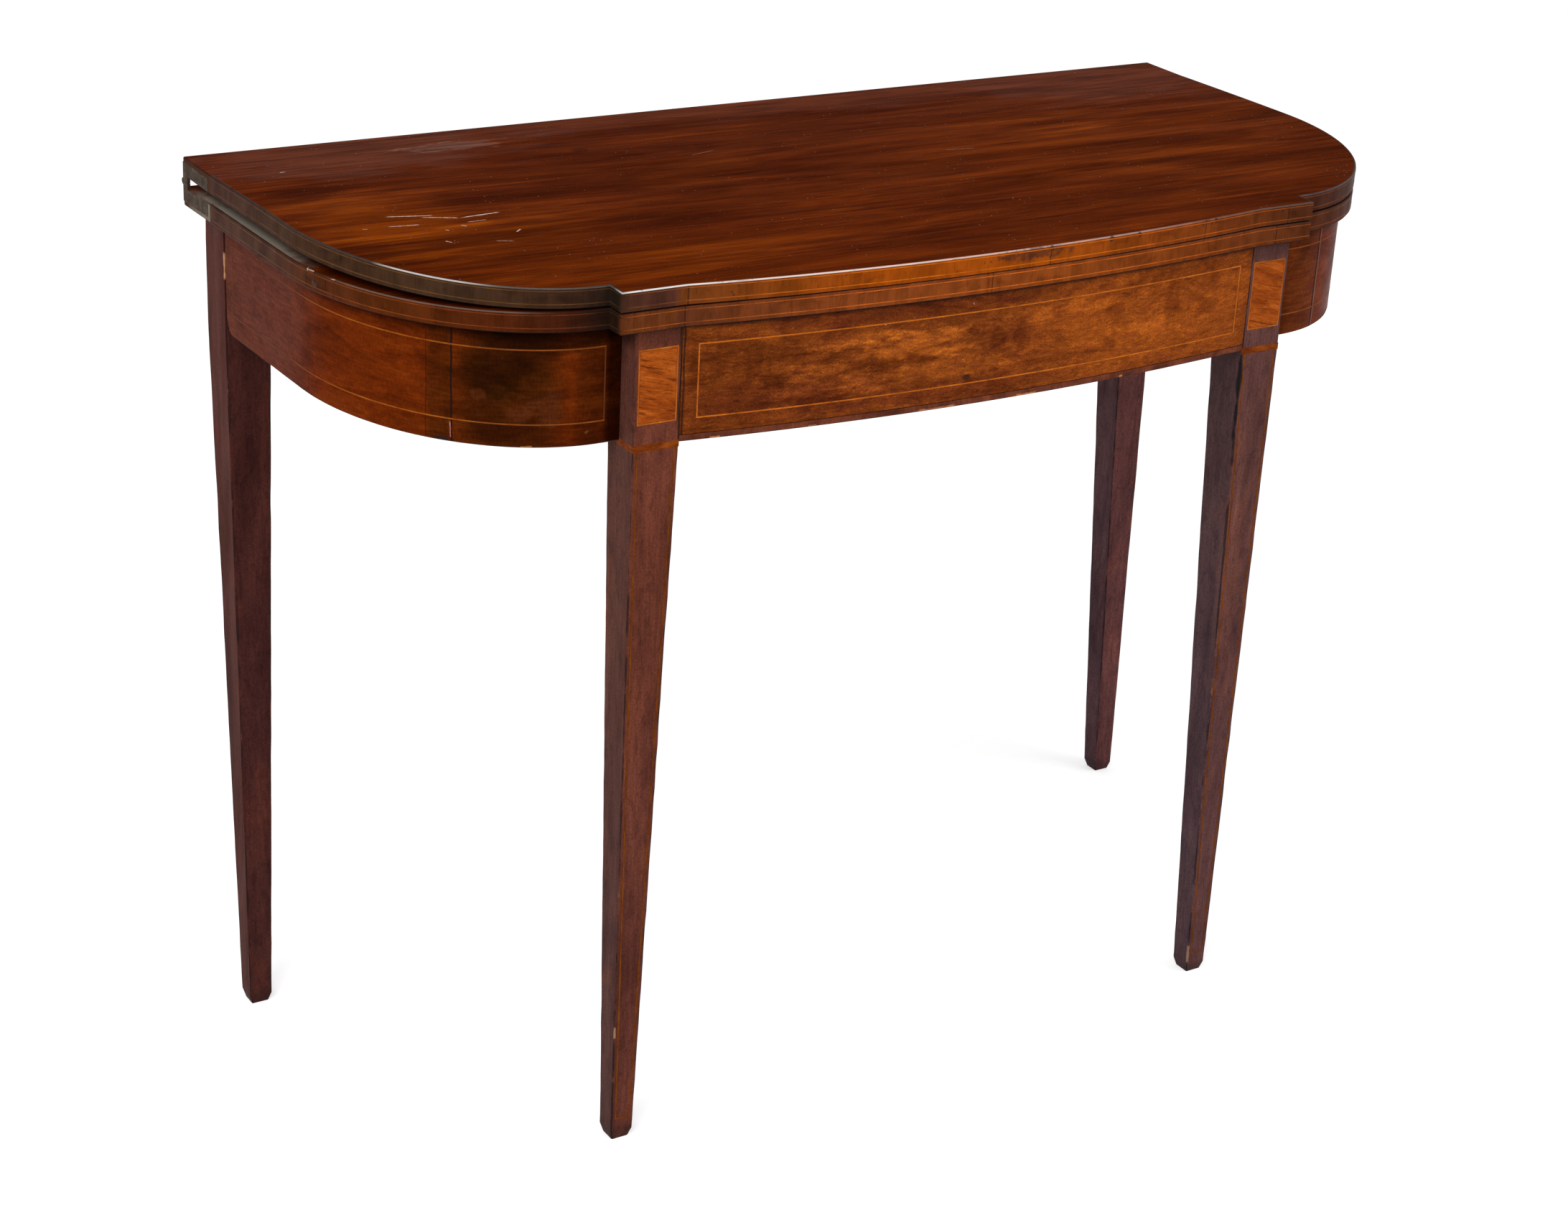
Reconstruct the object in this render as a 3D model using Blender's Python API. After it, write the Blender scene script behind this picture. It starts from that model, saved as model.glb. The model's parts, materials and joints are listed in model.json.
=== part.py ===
"""Fold-over card table with a stepped, bow-fronted top, four tapered legs and one swinging rear leg.

Metres, +Z up. The table stands on z = 0 with its front towards -Y. The origin is on the floor under the
middle of the table's outline from above, hinge knuckles included. All plan curves are lists of (x, y)
points, read anticlockwise from above, so the table's middle lies on the left of the direction of travel.
"""
import math

import bmesh
import bpy
from mathutils import Matrix, Vector

for old in list(bpy.data.objects):
    bpy.data.objects.remove(old)

# The whole table
table_height = 0.737          # to the top's front edge, where the two leaves meet
top_width = 0.994
top_depth = 0.459
fit_gap = 0.0003              # glue line, and the play round anything let in
overrun = 0.004               # how far a cut runs past the wood

# Leaves of the top
leaf_thickness = 0.016
back_gap = 0.009              # between the leaves at the back edge: the hinges hold them apart
bow_rise = 0.019
step_depth = 0.018
step_side_overhang = 0.016    # from a front leg's outer side to the leaf's step
end_straight = 0.210          # straight part of the leaf's end, from the back edge
front_overhang = 0.005
side_overhang = 0.011
back_overhang = 0.017

# Veneers, bandings and stringing
band_thickness = 0.0016
veneer_thickness = 0.0016
string_width = 0.0012
string_depth = 0.0009
leaf_string_top_margin = 0.0020
leaf_string_bottom_margin = 0.0032
leaf_string_end_margin = 0.0060
frame_top_margin = 0.0150
frame_bottom_margin = 0.0177
frame_end_margin = 0.0130
lower_band_height = 0.0050

# Aprons and rear rails
apron_height = 0.0922
apron_thickness = 0.018
side_apron_set_back = 0.021
fly_leg_slot = 0.0035         # the open joint between the left apron and the swinging leg
apron_corner_radius = 0.012
inner_rail_thickness = 0.018
outer_rail_thickness = 0.022

# Legs
leg_top = 0.040
leg_foot = 0.020
foot_chamfer = 0.0025
front_leg_outer_x = 0.315
rear_foot_splay = 0.009       # how far the rear legs lean outwards at the foot
fly_foot_lean = 0.043         # how far the swinging leg leans to the front at the foot
leg_line_inset = 0.0034
leg_line_foot_height = 0.020
panel_inset = 0.0030
panel_thickness = 0.0012
cuff_rise = 0.0020
cuff_drop = 0.0036
cuff_thickness = 0.0012

# Mortise and tenon joints
tenon_thickness = 0.008
tenon_height = 0.060
tenon_wall = 0.004            # wood left between two tenons that meet in a leg

# Swing of the rear leg
moving_clearance = 0.0005
knuckle_x = 0.0
knuckle_fingers = 5
rail_pin_radius = 0.0025

# Card-table hinges, let into the ends of the leaves
plate_length = 0.053
plate_thickness = 0.0026
plate_near_margin = 0.0010    # from the plate to the playing face of its leaf
plate_far_margin = 0.0040
plate_tab_length = 0.0095     # the plate's back end, which reaches out to the fold's axis
plate_end_margin = 0.0040     # from the plate to the end of the edge banding
hinge_knuckle_radius = 0.0028
hinge_pin_radius = 0.0010
plate_screw_shares = (0.23, 0.51, 0.81)    # of the plate's length, from its back end

# Screws
plate_screw = {"head_radius": 0.0029, "head_height": 0.0016, "shank_radius": 0.0014, "length": 0.016}
wood_screw = {"head_radius": 0.0042, "head_height": 0.0026, "shank_radius": 0.0021}
slot_width = 0.0008
slot_depth = 0.0007
rail_screw_bite = 0.012       # how deep a rail screw goes into the inner rail
rail_screw_shares = (0.25, 0.80)           # of the way from the middle to the rear leg
leaf_screw_bite = 0.0085      # how far a leaf screw goes on above the frame
leaf_screw_lean = math.radians(18)
leaf_screw_seat_drop = 0.020
front_leaf_screw_share = 0.56              # of the way from the middle to the front leg
rear_leaf_screw_share = 0.48               # of the way from the middle to the rear leg
pocket_play = 0.0014

# Blocks and brace inside the frame
block_size = 0.016
block_height = 0.070
brace_width = 0.018
brace_height = 0.060
brace_housing = 0.005

# Facets and shading of curves
ellipse_segments = 18
bow_segments = 16
round_segments = 20
knuckle_segments = 16
sharp_edge_angle = math.radians(30)

# Heights, worked out downwards from the top
lower_leaf_top = table_height - leaf_thickness - fit_gap
lower_leaf_bottom = lower_leaf_top - leaf_thickness
fold_z = lower_leaf_top + back_gap / 2
closed_tilt = math.asin((back_gap - fit_gap) / top_depth)
frame_top = lower_leaf_bottom - fit_gap
frame_bottom = frame_top - apron_height
taper_start = frame_bottom - cuff_drop - fit_gap
string_frame_top = frame_top - frame_top_margin
string_frame_bottom = frame_bottom + frame_bottom_margin
tenon_bottom = frame_bottom + (apron_height - tenon_height) / 2
tenon_top = tenon_bottom + tenon_height

# Plan positions
half_width = top_width / 2
apex_y = -(top_depth + fit_gap / 2 + hinge_knuckle_radius) / 2
back_y = apex_y + top_depth
fold_y = back_y + fit_gap / 2
step_front_y = apex_y + bow_rise
step_back_y = step_front_y + step_depth
step_half_width = front_leg_outer_x + step_side_overhang
curve_start_y = back_y - end_straight
banding_end_y = back_y - plate_length - plate_end_margin
leg_face_y = step_front_y + front_overhang
front_leg_inner_x = front_leg_outer_x - leg_top
side_apron_front_y = leg_face_y + side_apron_set_back
rear_leg_outer_x = half_width - side_overhang
rear_leg_inner_x = rear_leg_outer_x - leg_top
rear_leg_back_y = back_y - back_overhang
rear_leg_front_y = rear_leg_back_y - leg_top
apron_inner_x = rear_leg_outer_x - apron_thickness
inner_rail_back_y = rear_leg_front_y - fit_gap
inner_rail_front_y = inner_rail_back_y - inner_rail_thickness
outer_rail_back_y = rear_leg_front_y + outer_rail_thickness
knuckle_radius = outer_rail_thickness / 2
knuckle_y = rear_leg_front_y + knuckle_radius
brace_front_y = leg_face_y - bow_rise + apron_thickness - brace_housing
brace_back_y = inner_rail_front_y + brace_housing

# Sizes of what is let in or driven in
core_depth = veneer_thickness + fit_gap
tenon_length = leg_top - (core_depth + apron_thickness + tenon_thickness) / 2 - tenon_wall
plate_width = leaf_thickness - plate_near_margin - plate_far_margin
rail_screw = {**wood_screw, "length": outer_rail_thickness + rail_screw_bite}
leaf_screw = {**wood_screw, "length": (leaf_screw_seat_drop + leaf_screw_bite) / math.cos(leaf_screw_lean)}
pocket_radius = wood_screw["head_radius"] + pocket_play


def finish_colour(name, colour, roughness, metallic=0.0):
    material = bpy.data.materials.new(name)
    material.use_nodes = True
    shader = material.node_tree.nodes["Principled BSDF"]
    shader.inputs["Base Color"].default_value = (*colour, 1.0)
    shader.inputs["Roughness"].default_value = roughness
    shader.inputs["Metallic"].default_value = metallic
    material.diffuse_color = (*colour, 1.0)
    return material


finishes = {
    "mahogany": ((0.115, 0.032, 0.012), 0.34, 0.0),
    "dark_mahogany": ((0.060, 0.019, 0.012), 0.40, 0.0),
    "crossbanding": ((0.150, 0.048, 0.016), 0.36, 0.0),
    "figured_veneer": ((0.200, 0.070, 0.020), 0.36, 0.0),
    "flame_veneer": ((0.420, 0.140, 0.030), 0.38, 0.0),
    "boxwood": ((0.560, 0.260, 0.070), 0.45, 0.0),
    "deal": ((0.330, 0.200, 0.100), 0.75, 0.0),
    "bronzed_brass": ((0.090, 0.065, 0.040), 0.45, 1.0),
    "iron": ((0.080, 0.075, 0.070), 0.50, 1.0),
}


# Meshes

def add_object(name, mesh_data, finish):
    mesh = bpy.data.meshes.new(name)
    bmesh.ops.recalc_face_normals(mesh_data, faces=mesh_data.faces)
    mesh_data.to_mesh(mesh)
    mesh_data.free()
    thing = bpy.data.objects.new(name, mesh)
    bpy.context.collection.objects.link(thing)
    if finish:
        colour, roughness, metallic = finishes[finish]
        mesh.materials.append(finish_colour(name, colour, roughness, metallic))
    return thing


# how a prism's own X, Y, Z lie in the table's axes when it runs along X, Y or Z
prism_turns = {
    "x": Matrix(((0, 0, 1, 0), (1, 0, 0, 0), (0, 1, 0, 0), (0, 0, 0, 1))),
    "y": Matrix(((0, 1, 0, 0), (0, 0, 1, 0), (1, 0, 0, 0), (0, 0, 0, 1))),
    "z": Matrix.Identity(4),
}


def prism(name, outline, start, end, finish=None, along="z"):
    # an outline pushed along one axis; it is given as (y, z), (z, x) or (x, y)
    mesh_data = bmesh.new()
    corners = [mesh_data.verts.new((first, second, start)) for first, second in outline]
    floor = mesh_data.faces.new(corners)
    raised = bmesh.ops.extrude_face_region(mesh_data, geom=[floor])["geom"]
    raised_corners = [item for item in raised if isinstance(item, bmesh.types.BMVert)]
    bmesh.ops.translate(mesh_data, verts=raised_corners, vec=(0, 0, end - start))
    bmesh.ops.transform(mesh_data, matrix=prism_turns[along], verts=mesh_data.verts)
    return add_object(name, mesh_data, finish)


def hexahedron(name, lower, upper, finish=None):
    # two four-cornered rings, each in the same order
    mesh_data = bmesh.new()
    low = [mesh_data.verts.new(point) for point in lower]
    high = [mesh_data.verts.new(point) for point in upper]
    mesh_data.faces.new(low)
    mesh_data.faces.new(high)
    for near, far in zip(range(4), (1, 2, 3, 0)):
        mesh_data.faces.new((low[near], low[far], high[far], high[near]))
    return add_object(name, mesh_data, finish)


def box(name, x_span, y_span, z_span, finish=None):
    (x0, x1), (y0, y1), (z0, z1) = sorted(x_span), sorted(y_span), sorted(z_span)
    ring = ((x0, y0), (x1, y0), (x1, y1), (x0, y1))
    return hexahedron(name, [(x, y, z0) for x, y in ring], [(x, y, z1) for x, y in ring], finish)


def strip(name, path, depths, heights, is_solid, finish=None, square_ends=False):
    # an upright strip that follows a plan path, made of cells between the path's points, a few depths
    # measured inwards from it and a few heights; only cells that are solid are there
    layers = [offset_path(path, depth, square_ends) for depth in depths]
    counts = (len(path) - 1, len(depths) - 1, len(heights) - 1)
    mesh_data = bmesh.new()
    corners = {}

    def corner(along, inward, up):
        key = (along, inward, up)
        if key not in corners:
            corners[key] = mesh_data.verts.new((*layers[inward][along], heights[up]))
        return corners[key]

    def filled(cell):
        inside = all(0 <= place < count for place, count in zip(cell, counts))
        return inside and is_solid(*cell)

    cells = [(along, inward, up) for along in range(counts[0]) for inward in range(counts[1])
             for up in range(counts[2])]
    for cell in cells:
        if not filled(cell):
            continue
        for axis in range(3):
            others = [other for other in range(3) if other != axis]
            for side in (0, 1):
                beside = list(cell)
                beside[axis] += 2 * side - 1
                if filled(beside):
                    continue
                face = []
                for first, second in ((0, 0), (1, 0), (1, 1), (0, 1)):
                    place = list(cell)
                    place[axis] += side
                    place[others[0]] += first
                    place[others[1]] += second
                    face.append(corner(*place))
                mesh_data.faces.new(face)
    return add_object(name, mesh_data, finish)


def ribbon(name, path, near, far, bottom, top, finish=None, square_ends=False):
    return strip(name, path, (near, far), (bottom, top), lambda *cell: True, finish, square_ends)


def turned(name, profile, finish=None, segments=round_segments):
    # a profile of (radius, height) points turned about Z; each end is a flat cap, or a point on the axis
    mesh_data = bmesh.new()
    rings = []
    for radius, height in profile:
        turns = [math.tau * index / segments for index in range(segments if radius else 1)]
        rings.append([mesh_data.verts.new((radius * math.cos(turn), radius * math.sin(turn), height))
                      for turn in turns])
    for ring, following in zip(rings, rings[1:]):
        for index in range(segments):
            after = (index + 1) % segments
            if len(following) == 1:
                mesh_data.faces.new((ring[index], following[0], ring[after]))
            else:
                mesh_data.faces.new((ring[index], following[index], following[after], ring[after]))
    for ring in (rings[0], rings[-1]):
        if len(ring) > 1:
            mesh_data.faces.new(ring)
    return add_object(name, mesh_data, finish)


def rod(name, radius, start, end, axis, finish=None):
    # a cylinder along X (axis 0) or Z (axis 2), between two points that differ only along that axis
    length = abs(end[axis] - start[axis])
    middle = (Vector(start) + Vector(end)) / 2
    cylinder = turned(name, [(radius, -length / 2), (radius, length / 2)], finish)
    turn = Matrix.Rotation(math.radians(90), 4, "Y") if axis == 0 else Matrix.Identity(4)
    cylinder.data.transform(Matrix.Translation(middle) @ turn)
    return cylinder


# Plan paths

def offset_path(path, depth, square_ends=False):
    # parallel path, this far to the left of the travel; square ends keep to the ends' own x
    shifted = []
    for index, point in enumerate(path):
        here = Vector(point)
        before = (here - Vector(path[index - 1])).normalized() if index else None
        after = (Vector(path[index + 1]) - here).normalized() if index + 1 < len(path) else None
        steps = [step for step in (before, after) if step is not None]
        normals = [Vector((-step.y, step.x)) for step in steps]
        if len(normals) == 1 and square_ends:
            shifted.append((here.x, here.y + depth / normals[0].y))
            continue
        mitre = sum(normals, Vector((0, 0))).normalized()
        shifted.append(tuple(here + mitre * (depth / mitre.dot(normals[0]))))
    return shifted


def trim_path(path, start_cut, end_cut):
    # the path without these lengths at its two ends
    trimmed = path
    for cut_length in (start_cut, end_cut):
        remaining = cut_length
        points = list(trimmed)
        while remaining > 0:
            first, second = Vector(points[0]), Vector(points[1])
            span = (second - first).length
            if span > remaining:
                points[0] = tuple(first.lerp(second, remaining / span))
                break
            points.pop(0)
            remaining -= span
        trimmed = points[::-1]
    return trimmed


def with_points_at(path, lengths):
    # the path with a point added at each of these lengths from both of its ends, and their places in it
    spans = [(Vector(after) - Vector(before)).length for before, after in zip(path, path[1:])]
    total = sum(spans)
    wanted = sorted([*lengths, *[total - length for length in lengths]])
    points, places = [path[0]], []
    travelled = 0
    for span, before, after in zip(spans, path, path[1:]):
        while wanted and wanted[0] <= travelled + span:
            added = Vector(before).lerp(Vector(after), (wanted.pop(0) - travelled) / span)
            places.append(len(points))
            points.append(tuple(added))
        points.append(after)
        travelled += span
    return points, places


def ellipse_arc(centre, half_x, half_y, start, end):
    angles = [math.radians(start + (end - start) * index / ellipse_segments)
              for index in range(ellipse_segments + 1)]
    return [(centre[0] + half_x * math.cos(angle), centre[1] + half_y * math.sin(angle)) for angle in angles]


def bow_arc(half_chord, ends_y):
    # circular arc between two ends, bulging to the front by the bow's rise
    radius = (half_chord ** 2 + bow_rise ** 2) / (2 * bow_rise)
    half_angle = math.asin(half_chord / radius)
    angles = [-half_angle + 2 * half_angle * index / bow_segments for index in range(bow_segments + 1)]
    centre_y = ends_y - bow_rise + radius
    return [(radius * math.sin(angle), centre_y - radius * math.cos(angle)) for angle in angles]


def mirrored(path):
    return [(-x, y) for x, y in reversed(path)]


# Cutting and joining

def evaluated_mesh(thing):
    return bpy.data.meshes.new_from_object(thing.evaluated_get(bpy.context.evaluated_depsgraph_get()))


def combine(thing, tools, operation):
    for tool in tools:
        modifier = thing.modifiers.new(operation, "BOOLEAN")
        modifier.operation = operation
        modifier.solver = "EXACT"
        modifier.object = tool
        shaped = evaluated_mesh(thing)
        thing.modifiers.clear()
        thing.data = shaped
        bpy.data.objects.remove(tool)
    return thing


def cut(thing, *tools):
    return combine(thing, tools, "DIFFERENCE")


def join(thing, *tools):
    return combine(thing, tools, "UNION")


def hang_on_axis(name, place, things, turn=0.0):
    # an empty on the axis carries what turns about it, turned from where it was made
    axis = bpy.data.objects.new(name, None)
    axis.location = place
    axis.rotation_euler = (turn, 0, 0)
    bpy.context.collection.objects.link(axis)
    for thing in things:
        thing.parent = axis
        thing.matrix_parent_inverse = Matrix.Translation(-Vector(place))


# Screws: the head's face is at the local origin and the shank runs down -Z

def screw_profile(sizes, play=0.0, open_end=0.0):
    head = sizes["head_radius"] + play
    shank = sizes["shank_radius"] + play
    shoulder = -sizes["head_height"] - play
    tip = -sizes["length"] - play
    profile = [(head, open_end)]
    if open_end:
        profile.append((head, -play))
    return profile + [(shank, shoulder), (shank, tip + shank), (0, tip)]


def screws(name, sizes, places, finish):
    # one object for each place, all on one mesh
    first = turned(f"{name}_1", screw_profile(sizes), finish)
    slot = box("slot", (-sizes["head_radius"] * 2, sizes["head_radius"] * 2),
               (-slot_width / 2, slot_width / 2), (-slot_depth, overrun))
    cut(first, slot)
    copies = [first]
    for number in range(2, len(places) + 1):
        copy = bpy.data.objects.new(f"{name}_{number}", first.data)
        bpy.context.collection.objects.link(copy)
        copies.append(copy)
    for screw, place in zip(copies, places):
        screw.matrix_world = place
    return copies


def screw_hole(sizes, place, open_end=overrun):
    hole = turned("hole", screw_profile(sizes, fit_gap, open_end))
    hole.data.transform(place)
    return hole


# Master plan paths

def leaf_front_path():
    # from the left hinge plate round the front to the right one
    corner = ellipse_arc((-step_half_width, curve_start_y), half_width - step_half_width,
                         curve_start_y - step_back_y, 180, 270)
    left_end = [(-half_width, banding_end_y), *corner, (-step_half_width, step_front_y)]
    return left_end + bow_arc(front_leg_inner_x, step_front_y) + mirrored(left_end)


def side_apron_path(side, rear_end_y):
    # outer face of an end apron, rear end first on the left side
    half_x = rear_leg_outer_x - step_half_width
    half_y = curve_start_y - side_apron_front_y
    curve = ellipse_arc((-step_half_width, curve_start_y), half_x, half_y, 180, 270)
    left = [(-rear_leg_outer_x, rear_end_y)] + curve + [(-front_leg_outer_x - fit_gap, side_apron_front_y)]
    return left if side < 0 else mirrored(left)


leaf_path = leaf_front_path()
front_apron_path = bow_arc(front_leg_inner_x - fit_gap, leg_face_y)
side_rear_end = {-1: rear_leg_front_y - fly_leg_slot, 1: rear_leg_front_y - fit_gap}
side_names = {-1: "left", 1: "right"}


def string_frame(name, path, end_margin, low, high):
    # a long rectangle of thin line, let into the face that follows this path
    points, (first, last) = with_points_at(trim_path(path, end_margin, end_margin), [string_width])
    heights = (low, low + string_width, high - string_width, high)

    def is_line(along, inward, up):
        return along < first or along >= last or up != 1

    return strip(name, points, (0, string_depth), heights, is_line, "boxwood")


def grooved_strip(name, path, thickness, bottom, top, end_margin, low, high, finish, square_ends=False):
    # a veneer or banding with the groove that such a rectangle lies in
    reaches = [end_margin - fit_gap, end_margin + string_width + fit_gap]
    points, (start, start_inside, end_inside, end) = with_points_at(path, reaches)
    heights = (bottom, low - fit_gap, low + string_width + fit_gap, high - string_width - fit_gap,
               high + fit_gap, top)
    lower_margin, field, upper_margin = 0, 2, 4

    def is_wood(along, inward, up):
        in_reach = start <= along < end and lower_margin < up < upper_margin
        in_field = start_inside <= along < end_inside and up == field
        return inward > 0 or not in_reach or in_field

    depths = (0, string_depth + fit_gap, thickness)
    return strip(name, points, depths, heights, is_wood, finish, square_ends)


# The two leaves of the top, each with a banded and strung edge

def plate_place(side, reach):
    # point on the leaf's end, this far from its back edge, facing outwards
    turn = Matrix.Rotation(math.radians(90) * side, 4, "Y")
    return Matrix.Translation((side * half_width, back_y - reach, 0)) @ turn


def plate_outline(level, play=0.0):
    # one plate's outline as (y, z): a bar along the leaf's end, a tab at its back end that reaches out of
    # the leaf, and the round knuckle about the fold's axis. Level +1 is the upper leaf, -1 the lower one
    radius = hinge_knuckle_radius + play
    tab_start = -plate_tab_length - play
    tab_near = fit_gap - play
    near = back_gap / 2 + plate_near_margin - play
    far = near + plate_width + 2 * play
    end = hinge_knuckle_radius / 2 if play else back_y - fold_y
    start = back_y - plate_length - play - fold_y
    first_turn = -math.acos(end / radius)
    last_turn = math.pi + math.asin(tab_near / radius)
    turns = [first_turn + (last_turn - first_turn) * index / round_segments
             for index in range(round_segments + 1)]
    knuckle = [(radius * math.cos(turn), radius * math.sin(turn)) for turn in turns]
    lower = [(start, -far), (end, -far), *knuckle, (tab_start, -tab_near), (tab_start, -near),
             (start, -near)]
    return [(fold_y + y, fold_z - level * z) for y, z in lower]


def end_prism(name, level, side, depth, play=0.0, finish=None):
    # that outline pushed into one end of a leaf
    outer = side * (half_width + (overrun if play else 0))
    inner = side * (half_width - depth)
    return prism(name, plate_outline(level, play), min(outer, inner), max(outer, inner), finish, "x")


def screw_places(level):
    height = fold_z + level * (back_gap / 2 + plate_near_margin + plate_width / 2)
    lift = Matrix.Translation((0, 0, height))
    return [lift @ plate_place(side, plate_length * share)
            for side in (-1, 1) for share in plate_screw_shares]


def leaf(name, bottom, level):
    core_front = offset_path(leaf_path, band_thickness + fit_gap)
    outline = [(-half_width, banding_end_y), *core_front, (half_width, banding_end_y),
               (half_width, back_y), (-half_width, back_y)]
    core = prism(name, outline, bottom, bottom + leaf_thickness, "mahogany")
    for side in (-1, 1):
        cut(core, end_prism("recess", level, side, plate_thickness + fit_gap, fit_gap))
    for place in screw_places(level):
        cut(core, screw_hole(plate_screw, place))
    return core


def leaf_edge(name, bottom):
    path = trim_path(leaf_path, fit_gap, fit_gap)
    top = bottom + leaf_thickness
    layout = (leaf_string_end_margin, bottom + leaf_string_bottom_margin, top - leaf_string_top_margin)
    band = grooved_strip(f"{name}_edge_banding", path, band_thickness, bottom, top, *layout, "crossbanding")
    return band, string_frame(f"{name}_edge_stringing", path, *layout)


def hinge_rod(name, side, radius, start, end, finish=None):
    # a cylinder on the fold's axis, between two distances from the middle of the table
    return rod(name, radius, (side * start, fold_y, fold_z), (side * end, fold_y, fold_z), 0, finish)


def hinge(side):
    # the two plates are halved where their knuckles lap: the lower plate's knuckle is outermost
    name = f"{side_names[side]}_hinge"
    middle = half_width - plate_thickness / 2
    plates = {}
    for level, word in ((-1, "lower"), (1, "upper")):
        plate = end_prism(f"{name}_{word}_plate", level, side, plate_thickness, finish="bronzed_brass")
        lap_start = middle - level * fit_gap / 2
        lap_end = half_width + overrun if level > 0 else half_width - plate_thickness - overrun
        cut(plate, hinge_rod("lap", side, hinge_knuckle_radius + fit_gap, lap_start, lap_end))
        cut(plate, hinge_rod("bore", side, hinge_pin_radius + fit_gap, half_width - plate_thickness - overrun,
                             half_width + overrun))
        for place in screw_places(level):
            if place.translation.x * side > 0:
                cut(plate, screw_hole(plate_screw, place))
        plates[level] = plate
    hinge_rod(f"{name}_pin", side, hinge_pin_radius, half_width - plate_thickness, half_width,
              "bronzed_brass")
    return plates


# Aprons: a core of built-up deal with a mahogany veneer, and a stringing frame let into the veneer

def leaf_screw_place(x, mid_y, inward):
    # a pocket screw leans towards the frame's inside as it goes down
    lean = Matrix.Rotation(inward * leaf_screw_lean, 4, "X")
    seat = Vector((x, mid_y + inward * leaf_screw_seat_drop * math.tan(leaf_screw_lean),
                   frame_top - leaf_screw_seat_drop))
    return Matrix.Translation(seat) @ lean @ Matrix.Rotation(math.pi, 4, "X")


def leaf_screw_cuts(place, wood_thickness):
    # the pocket is long enough to come out of the wood's inner face
    pocket_length = wood_thickness / math.sin(leaf_screw_lean)
    pocket = turned("pocket", [(pocket_radius, 0), (pocket_radius, pocket_length)])
    pocket.data.transform(place)
    return pocket, screw_hole(leaf_screw, place)


def mid_apron_y(x):
    # middle of the front apron's core, at this distance from the centre line
    return leg_face_y - bow_rise * (1 - (x / front_leg_inner_x) ** 2) + (core_depth + apron_thickness) / 2


def leaf_screw_places():
    front_x = front_leg_inner_x * front_leaf_screw_share
    rear_x = rear_leg_inner_x * rear_leaf_screw_share
    rear_mid_y = (inner_rail_front_y + inner_rail_back_y) / 2
    front = [leaf_screw_place(x, mid_apron_y(x), 1) for x in (-front_x, front_x)]
    rear = [leaf_screw_place(x, rear_mid_y, -1) for x in (-rear_x, rear_x)]
    return front, rear


def tenon_box(name, x_span, y_span, play=0.0):
    x_span, y_span = sorted(x_span), sorted(y_span)
    return box(name, (x_span[0] - play, x_span[1] + play), (y_span[0] - play, y_span[1] + play),
               (tenon_bottom - play, tenon_top + play))


def front_tenon(side, play=0.0):
    # the front apron's tenon in the leg's inner face
    middle = leg_face_y + (core_depth + apron_thickness) / 2
    root = front_leg_inner_x - (0 if play else overrun)
    return tenon_box("tenon", (side * root, side * (front_leg_inner_x + tenon_length)),
                     (middle - tenon_thickness / 2, middle + tenon_thickness / 2), play)


def side_front_tenon(side, play=0.0):
    # an end apron's tenon in the outer face of the front leg
    middle = side_apron_front_y + (core_depth + apron_thickness) / 2
    root = front_leg_outer_x + (0 if play else overrun)
    return tenon_box("tenon", (side * root, side * (front_leg_outer_x - tenon_length)),
                     (middle - tenon_thickness / 2, middle + tenon_thickness / 2), play)


def side_rear_tenon(play=0.0):
    # the right apron's tenon in the front face of the fixed rear leg
    middle = rear_leg_outer_x - (core_depth + apron_thickness) / 2
    root = rear_leg_front_y - (0 if play else overrun)
    return tenon_box("tenon", (middle - tenon_thickness / 2, middle + tenon_thickness / 2),
                     (root, rear_leg_front_y + tenon_length), play)


def outer_rail_tenon(side, play=0.0):
    # a rear rail's tenon in the inner face of its leg
    root = rear_leg_inner_x - (0 if play else overrun)
    return tenon_box("tenon", (side * root, side * (rear_leg_inner_x + tenon_length)),
                     (knuckle_y - tenon_thickness / 2, knuckle_y + tenon_thickness / 2), play)


def brace_space():
    # the brace with its play, open at the top, for the housings that its two ends drop into
    return box("housing", (-brace_width / 2 - fit_gap, brace_width / 2 + fit_gap),
               (brace_front_y - fit_gap, brace_back_y + fit_gap),
               (frame_top - brace_height - fit_gap, frame_top + overrun))


def front_apron():
    core = ribbon("front_apron", front_apron_path, core_depth, apron_thickness, frame_bottom, frame_top,
                  "deal", square_ends=True)
    join(core, front_tenon(-1), front_tenon(1))
    cut(core, brace_space())
    for place in front_leaf_screws:
        cut(core, *leaf_screw_cuts(place, apron_thickness))
    layout = (frame_end_margin, string_frame_bottom, string_frame_top)
    veneer = grooved_strip("front_apron_veneer", front_apron_path, veneer_thickness,
                           frame_bottom + lower_band_height + fit_gap, frame_top, *layout, "figured_veneer",
                           square_ends=True)
    band = ribbon("front_apron_lower_band", front_apron_path, 0, veneer_thickness, frame_bottom,
                  frame_bottom + lower_band_height, "dark_mahogany", square_ends=True)
    frame = string_frame("front_apron_stringing", front_apron_path, *layout)
    return core, veneer, band, frame


def round_lower_corner(thing, side):
    # the end apron's lower rear corner is rounded where it meets the leg
    centre_y = side_rear_end[side] - apron_corner_radius
    centre_z = frame_bottom + apron_corner_radius
    reach = apron_corner_radius + overrun
    far_x = side * (rear_leg_outer_x + overrun)
    near_x = side * (apron_inner_x - overrun)
    blank = box("corner", (near_x, far_x), (centre_y, centre_y + reach), (centre_z - reach, centre_z))
    cut(blank, rod("round", apron_corner_radius, (near_x - side * overrun, centre_y, centre_z),
                   (far_x + side * overrun, centre_y, centre_z), 0))
    return cut(thing, blank)


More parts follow.
